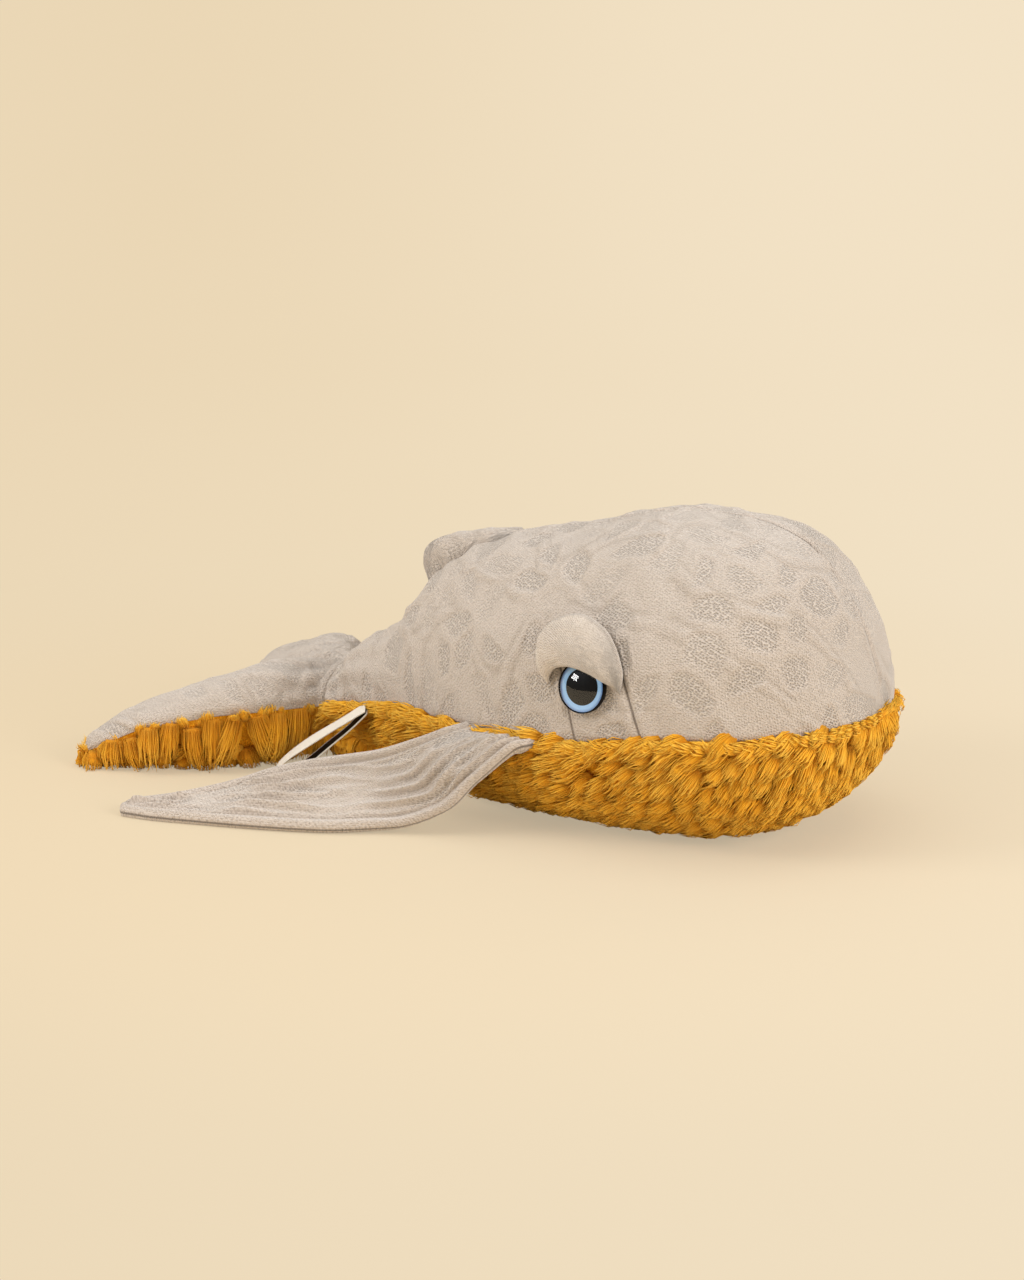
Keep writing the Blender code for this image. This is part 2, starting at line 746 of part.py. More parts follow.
def slab(lower, upper):
    """A closed piece between two grids of points."""
    bm = bmesh.new()
    low, high = ([[bm.verts.new(point) for point in line] for line in grid] for grid in (lower, upper))
    rows, columns = len(low) - 1, len(low[0]) - 1
    for i in range(rows):
        for j in range(columns):
            for grid in (low, high):
                bm.faces.new((grid[i][j], grid[i + 1][j], grid[i + 1][j + 1], grid[i][j + 1]))
    rim = [(i, 0) for i in range(rows)] + [(rows, j) for j in range(columns)]
    rim += [(i, columns) for i in range(rows, 0, -1)] + [(0, j) for j in range(columns, 0, -1)]
    for (i, j), (k, m) in zip(rim, rim[1:] + rim[:1]):
        bm.faces.new((low[i][j], low[k][m], high[k][m], high[i][j]))
    return bm


fin_shares = spread(0.0, 1.0, FIN_ROWS)
fin_across = spread(0.0, 1.0, FIN_COLUMNS)
root_front, root_back = fin_edges(0.0)
for side, hand in (("right", 1), ("left", -1)):
    for layer, facing in (("top", 1), ("under", -1)):
        grids = ([], [])
        for share in fin_shares:
            lines = ([], [])
            for s in fin_across:
                fullness = math.sqrt(math.sin(math.pi * s)) if 0 < s < 1 else 0.0
                thick = FIN_LAYER_THICKNESS * (FIN_EDGE_SHARE + (1 - FIN_EDGE_SHARE) * fullness)
                puff = FIN_PUFF * math.sin(math.pi * s) * math.sin(math.pi * share)
                place = fin_middle(share, s)
                out = fin_normal(share, s)
                for line, depth in zip(lines, (half_gap, half_gap + thick)):
                    point = place + out * (facing * depth + puff)
                    line.append(Vector((point.x, hand * point.y, max(point.z, 0.0))))
            for grid, line in zip(grids, lines):
                grid.append(line)
        root = (root_back + root_front) / 2
        make_object(f"pectoral_fin_{side}_{layer}", slab(*grids), knit, (root.x, hand * root.y, root.z))


# The eyes: a domed lens over a painted iris and pupil, in a backing whose stem takes a lock washer
eye_share = row_share(EYE_ROW_SHARE, EYE_ANGLE)


def surface(share, angle):
    """A place on the right side, the way forward and the way up there, and the way out."""
    place = body_point(share, angle)
    forward = (body_point(share + SMALL_SHARE, angle) - place) / SMALL_SHARE
    up = (body_point(share, angle + SMALL_SHARE) - place) / SMALL_SHARE
    return place, forward, up, forward.cross(up).normalized()


eye_place, _, _, eye_out = surface(eye_share, EYE_ANGLE)
eye_up = (Vector((0, 0, 1)) - eye_out * eye_out.z).normalized()
eye_forward = eye_up.cross(eye_out)


def turned(outline, ring=False):
    """A body of revolution about the eye's axis, from radii and heights."""
    bm = bmesh.new()
    circles = []
    for radius, height in outline:
        centre = eye_place + eye_out * height
        if radius == 0:
            circles.append([bm.verts.new(centre)] * EYE_SIDES)
            continue
        circle = []
        for turn in spread(0.0, 2 * math.pi, EYE_SIDES)[:-1]:
            around = eye_forward * math.cos(turn) + eye_up * math.sin(turn)
            circle.append(bm.verts.new(centre + around * radius))
        circles.append(circle)
    pairs = list(zip(circles, circles[1:]))
    if ring:
        pairs.append((circles[-1], circles[0]))
    for low, high in pairs:
        for i in range(EYE_SIDES):
            k = (i + 1) % EYE_SIDES
            corners = list(dict.fromkeys((low[i], low[k], high[k], high[i])))
            if len(corners) > 2:
                bm.faces.new(corners)
    return bm


def to_side(bm, side):
    """Pieces are made for the right side; the left ones are their mirror image."""
    if side == "left":
        bmesh.ops.scale(bm, verts=bm.verts, vec=(1, -1, 1))
    return bm


backing_height = SEAM_GAP
paint_height = backing_height + EYE_BACK_THICKNESS + SEAM_GAP
lens_height = paint_height + PAINT_THICKNESS + SEAM_GAP
dome_radius = (EYE_LENS_RADIUS**2 + EYE_DOME_HEIGHT**2) / (2 * EYE_DOME_HEIGHT)
dome_angle = math.asin(EYE_LENS_RADIUS / dome_radius)
dome_centre = lens_height + EYE_LENS_RIM + EYE_DOME_HEIGHT - dome_radius
washer_top = -(KNIT_THICKNESS + WASHER_CLEARANCE)


def straight(radius, low, high, hole=0.0):
    if hole:
        return turned([(hole, low), (radius, low), (radius, high), (hole, high)], ring=True)
    return turned([(0, low), (radius, low), (radius, high), (0, high)])


def lens():
    outline = [(0, lens_height), (EYE_LENS_RADIUS, lens_height)]
    for turn in spread(dome_angle, 0.0, DOME_RINGS):
        outline.append((dome_radius * math.sin(turn), dome_centre + dome_radius * math.cos(turn)))
    outline[-1] = (0, outline[-1][1])
    return turned(outline)


def eye_backing():
    outline = [
        (0, -STEM_LENGTH),
        (STEM_RADIUS, -STEM_LENGTH),
        (STEM_RADIUS, backing_height),
        (EYE_RADIUS, backing_height),
        (EYE_RADIUS, backing_height + EYE_BACK_THICKNESS),
        (0, backing_height + EYE_BACK_THICKNESS),
    ]
    return turned(outline)


def cut(target, cutter):
    cutter.hide_render = True
    cutter.display_type = "WIRE"
    hole = target.modifiers.new(cutter.name, "BOOLEAN")
    hole.operation = "DIFFERENCE"
    hole.solver = "EXACT"
    hole.object = cutter


for side in ("right", "left"):
    make_object(f"eye_{side}_lens", to_side(lens(), side), clear_plastic)
    ring = straight(IRIS_RADIUS, paint_height, paint_height + PAINT_THICKNESS, PUPIL_RADIUS + SEAM_GAP)
    make_object(f"eye_{side}_iris", to_side(ring, side), iris_paint)
    disc = straight(PUPIL_RADIUS, paint_height, paint_height + PAINT_THICKNESS)
    make_object(f"eye_{side}_pupil", to_side(disc, side), black_plastic)
    make_object(f"eye_{side}_backing", to_side(eye_backing(), side), black_plastic)
    washer = straight(WASHER_RADIUS, washer_top - WASHER_THICKNESS, washer_top, STEM_RADIUS + SEAM_GAP)
    make_object(f"eye_{side}_washer", to_side(washer, side), white_plastic)
    stem_hole = straight(STEM_RADIUS + SEAM_GAP, -WASHER_RADIUS, WASHER_RADIUS)
    cut(cheeks[side], make_object(f"stem_hole_{side}", to_side(stem_hole, side), stuffing))
    pocket = straight(WASHER_RADIUS + SEAM_GAP, -(STEM_LENGTH + SEAM_GAP), WASHER_RADIUS)
    cut(body_core, make_object(f"washer_pocket_{side}", to_side(pocket, side), stuffing))


# The eyelids: a puffy hood over the top of each eye, jersey over a soft pad
lid_profile = Profile(LID_SHARES)


def on_side(forward, up, height):
    """From the eye's centre along and up the side, then straight out of the fabric."""
    wanted = eye_place + eye_forward * forward + eye_up * up
    share, angle = eye_share, EYE_ANGLE
    for _ in range(NEAREST_STEPS):
        place, along, over, out = surface(share, angle)
        miss = wanted - place
        a, b, c = along.dot(along), along.dot(over), over.dot(over)
        share += (c * along.dot(miss) - b * over.dot(miss)) / (a * c - b * b)
        angle += (a * over.dot(miss) - b * along.dot(miss)) / (a * c - b * b)
    return place + out * height


def above_eye(forward, up):
    """The lowest that the hood may hang over a place, to clear the lens."""
    radius = math.hypot(forward, up)
    if radius > EYE_RADIUS + 2 * LID_CLEARANCE:
        return LID_CLEARANCE
    dome = dome_centre + math.sqrt(dome_radius**2 - min(radius, EYE_LENS_RADIUS) ** 2)
    return max(dome, lens_height) + LID_CLEARANCE


lid_skin = Skin()
lid_grid = []
for share in spread(0.0, 1.0, LID_ARCH_STEPS):
    low_x, low_y, high_x, high_y, thick = lid_profile.at(share)
    low = Vector((low_x, low_y)) * LID_HALF_WIDTH
    high = Vector((high_x, high_y)) * LID_HALF_WIDTH
    half = thick * LID_THICKNESS / 2
    line = []
    for turn in spread(0.0, 2 * math.pi, LID_SECTION_STEPS):
        place = low.lerp(high, (1 - math.cos(turn)) / 2)
        height = LID_CLEARANCE + half * (1 + math.sin(turn))
        line.append(on_side(place.x, place.y, max(height, above_eye(place.x, place.y))))
    line[-1] = line[0]
    lid_grid.append(line)


def lid_tag(i, j):
    """The cover goes round the lip that hangs over the eye, but not under the rest."""
    under = LID_SECTION_STEPS // 2 <= j < LID_SECTION_STEPS - 2
    return "base" if under else "cover"


lid_skin.patch(lid_grid, lid_tag)
lid_skin.ready()
for side in ("right", "left"):
    make_object(f"eyelid_{side}_cover", to_side(covering(lid_skin, LID_COVER_THICKNESS), side), jersey)
    make_object(f"eyelid_{side}_pad", to_side(padding(lid_skin, LID_COVER_THICKNESS), side), stuffing)

# The ribbon: one strip folded in a loop and caught in the right seam
ribbon_place = body_point(RIBBON_SEAM_SHARE, 0.0) + Vector((0, -RIBBON_STAND_OFF, 0))
ribbon_down = Vector((-RIBBON_LOOP_BACK, -RIBBON_LOOP_OUT, -RIBBON_LOOP_DROP))
ribbon_length = ribbon_down.length
ribbon_down.normalize()
ribbon_out = Vector((0, -1, 0))
ribbon_out = (ribbon_out - ribbon_down * ribbon_out.dot(ribbon_down)).normalized()
ribbon_across = ribbon_down.cross(ribbon_out)
ribbon_path = []
for turn in spread(-math.pi, math.pi, RIBBON_STEPS):
    along = (1 + math.cos(turn)) / 2
    apart = math.sin(turn) * along * RIBBON_LOOP_SPREAD
    apart += math.copysign(RIBBON_THICKNESS, turn) * (1 - along)
    ribbon_path.append(ribbon_place + ribbon_down * ribbon_length * along + ribbon_out * apart)
ribbon_bm = bmesh.new()
ribbon_rings = []
for i, point in enumerate(ribbon_path):
    ahead = ribbon_path[min(i + 1, RIBBON_STEPS)] - ribbon_path[max(i - 1, 0)]
    face_out = ribbon_across.cross(ahead).normalized()
    ring = []
    for face_side, edge_side in ((-1, -1), (-1, 1), (1, 1), (1, -1)):
        offset = face_out * face_side * RIBBON_THICKNESS / 2
        offset += ribbon_across * edge_side * RIBBON_WIDTH / 2
        ring.append(ribbon_bm.verts.new(point + offset))
    ribbon_rings.append(ring)
for low, high in zip(ribbon_rings, ribbon_rings[1:]):
    for i in range(len(low)):
        k = (i + 1) % len(low)
        ribbon_bm.faces.new((low[i], low[k], high[k], high[i]))
for ring in (ribbon_rings[0], ribbon_rings[-1]):
    ribbon_bm.faces.new(ring)
make_object("ribbon_loop", ribbon_bm, ribbon_cloth, ribbon_place)
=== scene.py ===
import math

import bmesh
import bpy
import numpy as np
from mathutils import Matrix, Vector
from mathutils.bvhtree import BVHTree


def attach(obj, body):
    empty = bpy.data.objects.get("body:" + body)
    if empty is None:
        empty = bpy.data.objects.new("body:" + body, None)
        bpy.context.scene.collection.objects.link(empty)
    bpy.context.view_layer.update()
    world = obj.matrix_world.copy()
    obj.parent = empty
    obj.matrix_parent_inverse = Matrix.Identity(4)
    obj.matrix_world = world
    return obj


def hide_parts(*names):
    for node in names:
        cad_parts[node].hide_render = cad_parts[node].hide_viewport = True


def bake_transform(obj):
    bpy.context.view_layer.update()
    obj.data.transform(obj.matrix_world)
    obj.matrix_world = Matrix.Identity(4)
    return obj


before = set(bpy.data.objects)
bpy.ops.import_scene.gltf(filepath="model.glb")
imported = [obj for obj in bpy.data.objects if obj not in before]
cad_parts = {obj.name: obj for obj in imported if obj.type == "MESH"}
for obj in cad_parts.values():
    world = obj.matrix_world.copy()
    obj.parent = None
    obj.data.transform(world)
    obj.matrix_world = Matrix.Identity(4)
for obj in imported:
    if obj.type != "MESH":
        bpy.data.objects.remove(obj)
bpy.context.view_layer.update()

# The camera stands low, in front of the whale's right side, and far enough off for a long lens.
# It frames the picture 1024 wide by 1280 high.
lens_data = bpy.data.cameras.new("camera")
lens_data.sensor_fit = "VERTICAL"
lens_data.sensor_height = 36
lens_data.lens = 84.375
camera = bpy.data.objects.new("camera", lens_data)
bpy.context.scene.collection.objects.link(camera)
aimed_at = Vector((0.003, 0, 0.075))
view_line = Vector((0.483, -0.8365, 0.2588)).normalized()
camera_distance = 1.52
camera.location = aimed_at + view_line * camera_distance
camera.rotation_euler = view_line.to_track_quat("Z", "Y").to_euler()
bpy.context.scene.camera = camera

# The knitted back: two panels of warm grey jacquard, right and left, sewn along the ridge and to
# the fur at the sides. The knit has sunk cells between soft round ridges, and it is gathered where
# the body narrows to the tail. A short seam runs down each side of the cheek, below the eye.
TAIL_SEAM = -0.097
BODY_LENGTH = 0.302
BODY_HALF_WIDTH = 0.0805
BODY_HEIGHT = 0.155
BELLY_FLAT = 0.0012
BODY_SHARES = (
    (0.050, 0.360, 0.232, 0.413, 0.058),
    (0.126, 0.435, 0.254, 0.510, 0.019),
    (0.195, 0.559, 0.284, 0.672, 0.000),
    (0.265, 0.683, 0.303, 0.787, 0.000),
    (0.364, 0.832, 0.318, 0.862, 0.000),
    (0.464, 0.932, 0.329, 0.900, 0.000),
    (0.579, 0.994, 0.342, 0.961, 0.000),
    (0.679, 1.000, 0.377, 1.000, 0.000),
    (0.778, 0.957, 0.400, 0.990, 0.016),
    (0.861, 0.845, 0.408, 0.942, 0.065),
    (0.934, 0.646, 0.415, 0.800, 0.155),
    (0.977, 0.398, 0.419, 0.652, 0.265),
    (0.997, 0.161, 0.420, 0.510, 0.355),
    (1.000, 0.000, 0.420, 0.420, 0.420),
)
# The narrowest place, at the tail seam, in metres
STOCK_ROW = (0.0, 0.026, 0.032, 0.0505, 0.013)
RIDGE = math.pi / 2
SIDES = (("right", 1), ("left", -1))


class Curve:
    """Smooth rows of sizes, read at any share of the way along."""

    def __init__(self, rows):
        self.rows = np.array(rows, float)
        steps = np.diff(self.rows, axis=0)
        before, after = steps[:-1], steps[1:]
        inner = np.zeros_like(before)
        same = before * after > 0
        inner[same] = 2 * (before * after)[same] / (before + after)[same]
        self.slopes = np.vstack((steps[:1], inner, steps[-1:]))

    def at(self, share):
        place = np.clip(share, 0, 1) * (len(self.rows) - 1)
        i = np.minimum(place.astype(int), len(self.rows) - 2)
        t = (place - i)[..., None]
        found = (1 + 2 * t) * (1 - t) ** 2 * self.rows[i] + t * (1 - t) ** 2 * self.slopes[i]
        found += t * t * (3 - 2 * t) * self.rows[i + 1] + t * t * (t - 1) * self.slopes[i + 1]
        return np.moveaxis(found, -1, 0)


def squared(value, share):
    return np.sign(value) * np.abs(value) ** share


body_sizes = (BODY_LENGTH, BODY_HALF_WIDTH, BODY_HEIGHT, BODY_HEIGHT, BODY_HEIGHT)
body_rows = np.array(BODY_SHARES) * body_sizes
body_rows[:, 4] -= BELLY_FLAT
body_curve = Curve(np.vstack((STOCK_ROW, body_rows)))
body_curve.slopes[0, 1:] = 0


def body_form(share, angle):
    """On the body. Angle 0 is the right seam, a quarter turn the ridge, a half turn the left seam."""
    share, angle = np.broadcast_arrays(np.asarray(share, float), np.asarray(angle, float))
    along, width, seam, top, bottom = body_curve.at(share)
    over = np.sin(angle) > 0
    roundness = np.where(over, 0.92, 0.90)
    rise = squared(np.sin(angle), roundness) * np.where(over, top - seam, seam - bottom)
    side = -width * squared(np.cos(angle), roundness)
    return np.stack((TAIL_SEAM + along, side, np.maximum(seam + rise, 0)), -1)


def unit(vectors):
    return vectors / np.maximum(np.linalg.norm(vectors, axis=-1, keepdims=True), 1e-12)


def facing(form, share, angle, step=0.0015):
    """The way forward, the way round and the way out of a form."""
    share = np.clip(share, step, 1 - step)
    forward = (form(share + step, angle) - form(share - step, angle)) / (2 * step)
    round_it = (form(share, angle + step) - form(share, angle - step)) / (2 * step)
    return forward, round_it, unit(np.cross(forward, round_it))


def evenly(form, angle, count, start=0.0, end=1.0):
    """Shares that lie the same distance apart along a form."""
    fine = np.linspace(start, end, 3000)
    steps = np.linalg.norm(np.diff(form(fine, angle), axis=0), axis=1)
    run = np.concatenate(([0], np.cumsum(steps)))
    return np.interp(np.linspace(0, run[-1], count), run, fine)


def run_along(points, axis):
    """How far each point of a grid lies from its first row, over the cloth."""
    steps = np.linalg.norm(np.diff(points, axis=axis), axis=-1)
    start = np.zeros_like(np.take(steps, [0], axis=axis))
    return np.concatenate((start, np.cumsum(steps, axis=axis)), axis=axis)


def ease(low, high, value):
    t = np.clip((value - low) / (high - low), 0, 1)
    return t * t * (3 - 2 * t)


def bell(value, middle, width):
    """1 at the middle, and next to nothing two widths away."""
    return np.exp(-(((value - middle) / width) ** 2))


def ripple(points, seed, wave, waves=7):
    """Soft lumps about one wave long, from -1 to 1."""
    rng = np.random.default_rng(seed)
    ways = unit(rng.normal(size=(waves, 3))) * rng.uniform(0.6, 1.5, (waves, 1))
    starts = rng.uniform(0, 2 * math.pi, waves)
    return np.sin(points @ ways.T * (2 * math.pi / wave) + starts).sum(-1) / math.sqrt(waves * 1.6)


def scatter(points, spacing, seed):
    """Numbers of points that lie at least a spacing apart."""
    rng = np.random.default_rng(seed)
    taken = np.zeros(len(points), bool)
    found = []
    for i in rng.permutation(len(points)):
        if not taken[i]:
            found.append(i)
            taken |= ((points - points[i]) ** 2).sum(1) < spacing**2
    return np.array(found)


CORNER = 0.055


def cells(places, seed, crowd=0.80):
    """Over places measured in cells: how far each lies from its cell's edge, and the cell's number."""
    flat = places.reshape(-1, 3)
    wobble = np.stack([ripple(flat, seed + k, 1.7) for k in range(3)], -1)
    flat = flat + 0.20 * wobble
    centres = flat[scatter(flat, crowd, seed)]
    lines, numbers = [], []
    for part in np.array_split(flat, max(len(flat) // 4000, 1)):
        apart = ((part[:, None] - centres[None]) ** 2).sum(-1)
        near = np.argsort(apart, 1)[:, :7]
        first, others = near[:, :1], near[:, 1:]
        near_apart = np.take_along_axis(apart, near, 1)
        between = np.linalg.norm(centres[others] - centres[first], axis=-1)
        line = (near_apart[:, 1:] - near_apart[:, :1]) / (2 * np.maximum(between, 1e-6))
        lines.append(-CORNER * np.log(np.exp(-line / CORNER).sum(1)))
        numbers.append(first[:, 0])
    value = np.random.default_rng(seed + 9).uniform(size=len(centres))
    shape = places.shape[:-1]
    return np.concatenate(lines).reshape(shape), value[np.concatenate(numbers)].reshape(shape)


def write_marks(mesh, marks):
    """Values on a mesh's points, for its material to read."""
    for mark, values in marks.items():
        layer = mesh.attributes.new(mark, "FLOAT", "POINT")
        layer.data.foreach_set("value", values.reshape(-1).astype(np.float32))


def write_map(mesh, name, lengths):
    """A map of flat lengths, one pair for each of a mesh's points."""
    corners = np.empty(len(mesh.loops), np.int32)
    mesh.loops.foreach_get("vertex_index", corners)
    flat = lengths.reshape(-1, 2)[corners].reshape(-1).astype(np.float32)
    mesh.uv_layers.new(name=name).data.foreach_set("uv", flat)


def placed(name, mesh):
    """A smooth mesh, put into the scene."""
    mesh.shade_smooth()
    piece = bpy.data.objects.new(name, mesh)
    bpy.context.scene.collection.objects.link(piece)
    return piece


def cloth(name, points, marks=None, lengths=None, joined=2e-5):
    """A grid of points, [round, along, 3], with a map of its real lengths and marks on its points."""
    rows, columns = points.shape[:2]
    bm = bmesh.new()
    bmesh.ops.create_grid(bm, x_segments=columns - 1, y_segments=rows - 1, size=1)
    mesh = bpy.data.meshes.new(name)
    bm.to_mesh(mesh)
    mesh.vertices.foreach_set("co", points.reshape(-1).astype(np.float32))
    if lengths is None:
        lengths = np.stack((run_along(points, 1), run_along(points, 0)), -1)
    write_map(mesh, "cloth", lengths)
    write_marks(mesh, {mark: np.broadcast_to(v, (rows, columns)) for mark, v in (marks or {}).items()})
    bm.clear()
    bm.from_mesh(mesh)
    bmesh.ops.remove_doubles(bm, verts=bm.verts, dist=joined)
    bmesh.ops.dissolve_degenerate(bm, dist=1e-7, edges=bm.edges)
    bm.to_mesh(mesh)
    bm.free()
    return placed(name, mesh)


def lined(piece, thickness):
    """Gives a cloth its own thickness, inwards."""
    wall = piece.modifiers.new("thickness", "SOLIDIFY")
    wall.thickness = thickness
    wall.offset = -1


def dress(piece, material, stands_for=(), body=None):
    """Its material, the solids it stands for, which are hidden, and its body. With no body its
    placement is baked into its mesh.
    """
    piece.data.materials.append(material)
    if stands_for:
        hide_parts(*stands_for)
    if body:
        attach(piece, body)
    else:
        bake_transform(piece)


class Thread:
    """One output of a material's nodes. Sums on it add Math nodes."""

    def __init__(self, tree, socket=None):
        self.tree = tree
        self.socket = socket

    def node(self, kind, settings=None, sockets=None, output=0):
        made = self.tree.nodes.new("ShaderNode" + kind)
        for name, value in (settings or {}).items():
            setattr(made, name, value)
        for name, value in (sockets or {}).items():
            if isinstance(value, Thread):
                self.tree.links.new(value.socket, made.inputs[name])
            else:
                made.inputs[name].default_value = value
        return Thread(self.tree, made.outputs[output])

    def maths(self, operation, *values):
        return self.node("Math", {"operation": operation}, dict(enumerate(values)))

    def __add__(self, other):
        return self.maths("ADD", self, other)

    def __sub__(self, other):
        return self.maths("SUBTRACT", self, other)

    def __rsub__(self, other):
        return self.maths("SUBTRACT", other, self)

    def __mul__(self, other):
        return self.maths("MULTIPLY", self, other)

    __radd__ = __add__
    __rmul__ = __mul__

    def step(self, low, high):
        """From 0 to 1, smoothly, between two values."""
        return self.node("MapRange", {"interpolation_type": "SMOOTHSTEP"}, {0: self, 1: low, 2: high})

    def between(self, first, second):
        """A mix of two colours, by this value."""
        colours = [c if isinstance(c, Thread) else (*c, 1) for c in (first, second)]
        return self.node("Mix", {"data_type": "RGBA"}, {0: self, 6: colours[0], 7: colours[1]}, 2)

    def mark(self, name):
        return self.node("Attribute", {"attribute_name": name}, output=2)

    def lengths(self, name="cloth"):
        return self.node("UVMap", {"uv_map": name})

    def stretched(self, vector, scale, turn=0.0):
        return self.node("Mapping", {}, {"Vector": vector, "Rotation": (0, 0, turn), "Scale": scale})

    def noise(self, vector, scale, detail=2.0, roughness=0.5):
        sockets = {"Vector": vector, "Scale": scale, "Detail": detail, "Roughness": roughness}
        return self.node("TexNoise", {}, sockets)

    def cloud(self, scale, detail=2.0, roughness=0.5):
        """Soft mottling through the whole piece."""
        return self.noise(self.object_place(), scale, detail, roughness)

    def grains(self, vector, scale, randomness=1.0):
        """How far each place lies from the middle of its own small grain."""
        sockets = {"Vector": vector, "Scale": scale, "Randomness": randomness}
        return self.node("TexVoronoi", {"voronoi_dimensions": "2D"}, sockets)

    def object_place(self):
        return self.node("TexCoord", {}, output=3)

    def bump(self, height, depth, strength=1.0):
        return self.node("Bump", {}, {"Height": height, "Distance": depth, "Strength": strength})


def finish(name, looks, constants):
    """A material. Constants are set on the shader's sockets, and looks() gives what varies."""
    material = bpy.data.materials.new(name)
    material.use_nodes = True
    tree = material.node_tree
    shader = tree.nodes["Principled BSDF"]
    for socket, value in constants.items():
        shader.inputs[socket].default_value = value
    for socket, value in looks(Thread(tree)).items():
        tree.links.new(value.socket, shader.inputs[socket])
    return material


KNIT_PLAIN = (0.602, 0.515, 0.443)
KNIT_CELL = (0.560, 0.470, 0.395)
# Painted shade colours: for the creases of the relief, and for the holes and stitch gaps
KNIT_CREASE_SHADE = (0.400, 0.320, 0.250)
KNIT_HOLE_SHADE = (0.230, 0.175, 0.130)
KNIT_THREAD = (0.800, 0.720, 0.635)
SEAM_DARK = (0.120, 0.085, 0.062)


def knit_looks(thread):
    """Fine stitches all over, an open mesh of thread and holes in the cells, and thin dark seams.
    Painted shade darkens the holes, the gaps between stitches and the creases.
    """
    lengths = thread.lengths()
    cell = thread.mark("cell").step(0.10, 0.95)
    seam = 1 - thread.maths("ABSOLUTE", thread.mark("seam")).step(0.0002, 0.0010)
    mesh = thread.grains(thread.stretched(lengths, (1.0, 1.25, 1.0), 0.65), 650.0, 0.6)
    open_knit = cell * 0.58 + 0.42
    holes = (1 - mesh.step(0.08, 0.42)) * open_knit
    threads = mesh.step(0.40, 0.60) * open_knit
    stitches = thread.grains(thread.stretched(lengths, (1.0, 1.7, 1.0)), 820.0, 0.35)
    fuzz = thread.noise(lengths, 1500.0, 3.0, 0.6)
    cloud = thread.cloud(42.0, 3.0, 0.6)
    colour = (cell * 0.06).between(KNIT_PLAIN, KNIT_CELL)
    # Painted shade in the creases and hollows of the relief
    colour = (thread.mark("crease_shade") * 0.66).between(colour, KNIT_CREASE_SHADE)
    # Painted shade in the gaps between stitches
    colour = (stitches.step(0.28, 0.70) * 0.15).between(colour, KNIT_HOLE_SHADE)
    colour = (cloud.step(0.35, 0.75) * 0.25).between(colour, KNIT_CELL)
    colour = (threads * 0.31).between(colour, KNIT_THREAD)
    # Painted shade in the holes of the open mesh
    colour = (holes * 0.32).between(colour, KNIT_HOLE_SHADE)
    colour = (seam * 0.75).between(colour, SEAM_DARK)
    height = fuzz * 0.6 - stitches * 0.9 - holes * 1.1 + threads * 0.4
    return {"Base Color": colour, "Normal": thread.bump(height, 0.0006, 0.9)}


CLOTH_GLOSS = {"Roughness": 0.92, "Specular IOR Level": 0.18}
CLOTH_SHEEN = {"Sheen Weight": 0.55, "Sheen Roughness": 0.50}
knit = finish("jacquard_knit", knit_looks, CLOTH_GLOSS | CLOTH_SHEEN)

# How long, how tall and how wide apart the cells are, from the tail to the head
CELL_X = (-0.11, -0.05, 0.00, 0.06)
CELL_LONG = (0.0090, 0.0125, 0.0175, 0.0230)
CELL_ROUND = (0.0280, 0.0260, 0.0230, 0.0215)
CELL_PITCH = (0.014, 0.0170, 0.020, 0.022)
KNIT_THICKNESS = 0.0012
SEAM_RELIEF = 0.0005
SEAM_REACH = 0.0012
NO_SEAM = 0.02


def in_cells(points, lean=0.30):
    """Places measured in cells, which lean and crowd together near the tail."""
    x, y, z = np.moveaxis(points, -1, 0)
    at_tail = 1 - ease(-0.10, 0.02, x)
    fine = np.linspace(-0.22, 0.22, 900)
    count = np.cumsum(1 / np.interp(fine, CELL_X, CELL_LONG)) * (fine[1] - fine[0])
    tall = np.interp(x, CELL_X, CELL_ROUND)
    return np.stack((np.interp(x + lean * at_tail * z, fine, count), y / tall, z / tall), -1)


def quilted(places, seed, pitch, ridge=0.0029):
    """The jacquard's relief: its height in metres, how deep in a cell each point lies, and where
    painted shade darkens the hollows beside the cords and round the cells.
    """
    line, number = cells(places, seed)
    line = line * pitch + 0.0004 * ripple(places, seed + 31, 0.7)
    ridge = ridge + 0.0010 * ripple(places, seed + 47, 2.3)
    inside = ease(ridge - 0.0008, ridge + 0.0019, line)
    rim = bell(line - ridge, -0.0014, 0.0017)
    deep = np.where(number < 0.14, 0.0, 0.35 + 0.65 * number)
    from_cord = np.abs(ripple(places * (1, 0.55, 0.55), seed + 61, 2.2)) / 0.15
    cords = bell(from_cord, 0, 1) * (1 - inside)
    beside = bell(from_cord, 1.7, 0.5) * (1 - inside)
    round_cell = bell(line - ridge, 0.0004, 0.0005)
    height = 0.0006 * rim * (0.4 + 0.6 * deep) + 0.0009 * cords - 0.0006 * deep * inside
    return height, inside * deep, np.maximum(0.7 * beside, 0.35 * deep * round_cell)


CHEEK_ANGLES = np.radians((-10, 0, 6, 12, 18, 24, 30))
CHEEK_BACK = (0.5127, 0.5128, 0.5060, 0.4990, 0.4920, 0.4848, 0.4776)
CHEEK_FRONT = (0.6000, 0.5960, 0.5868, 0.5775, 0.5668, 0.5570, 0.5400)

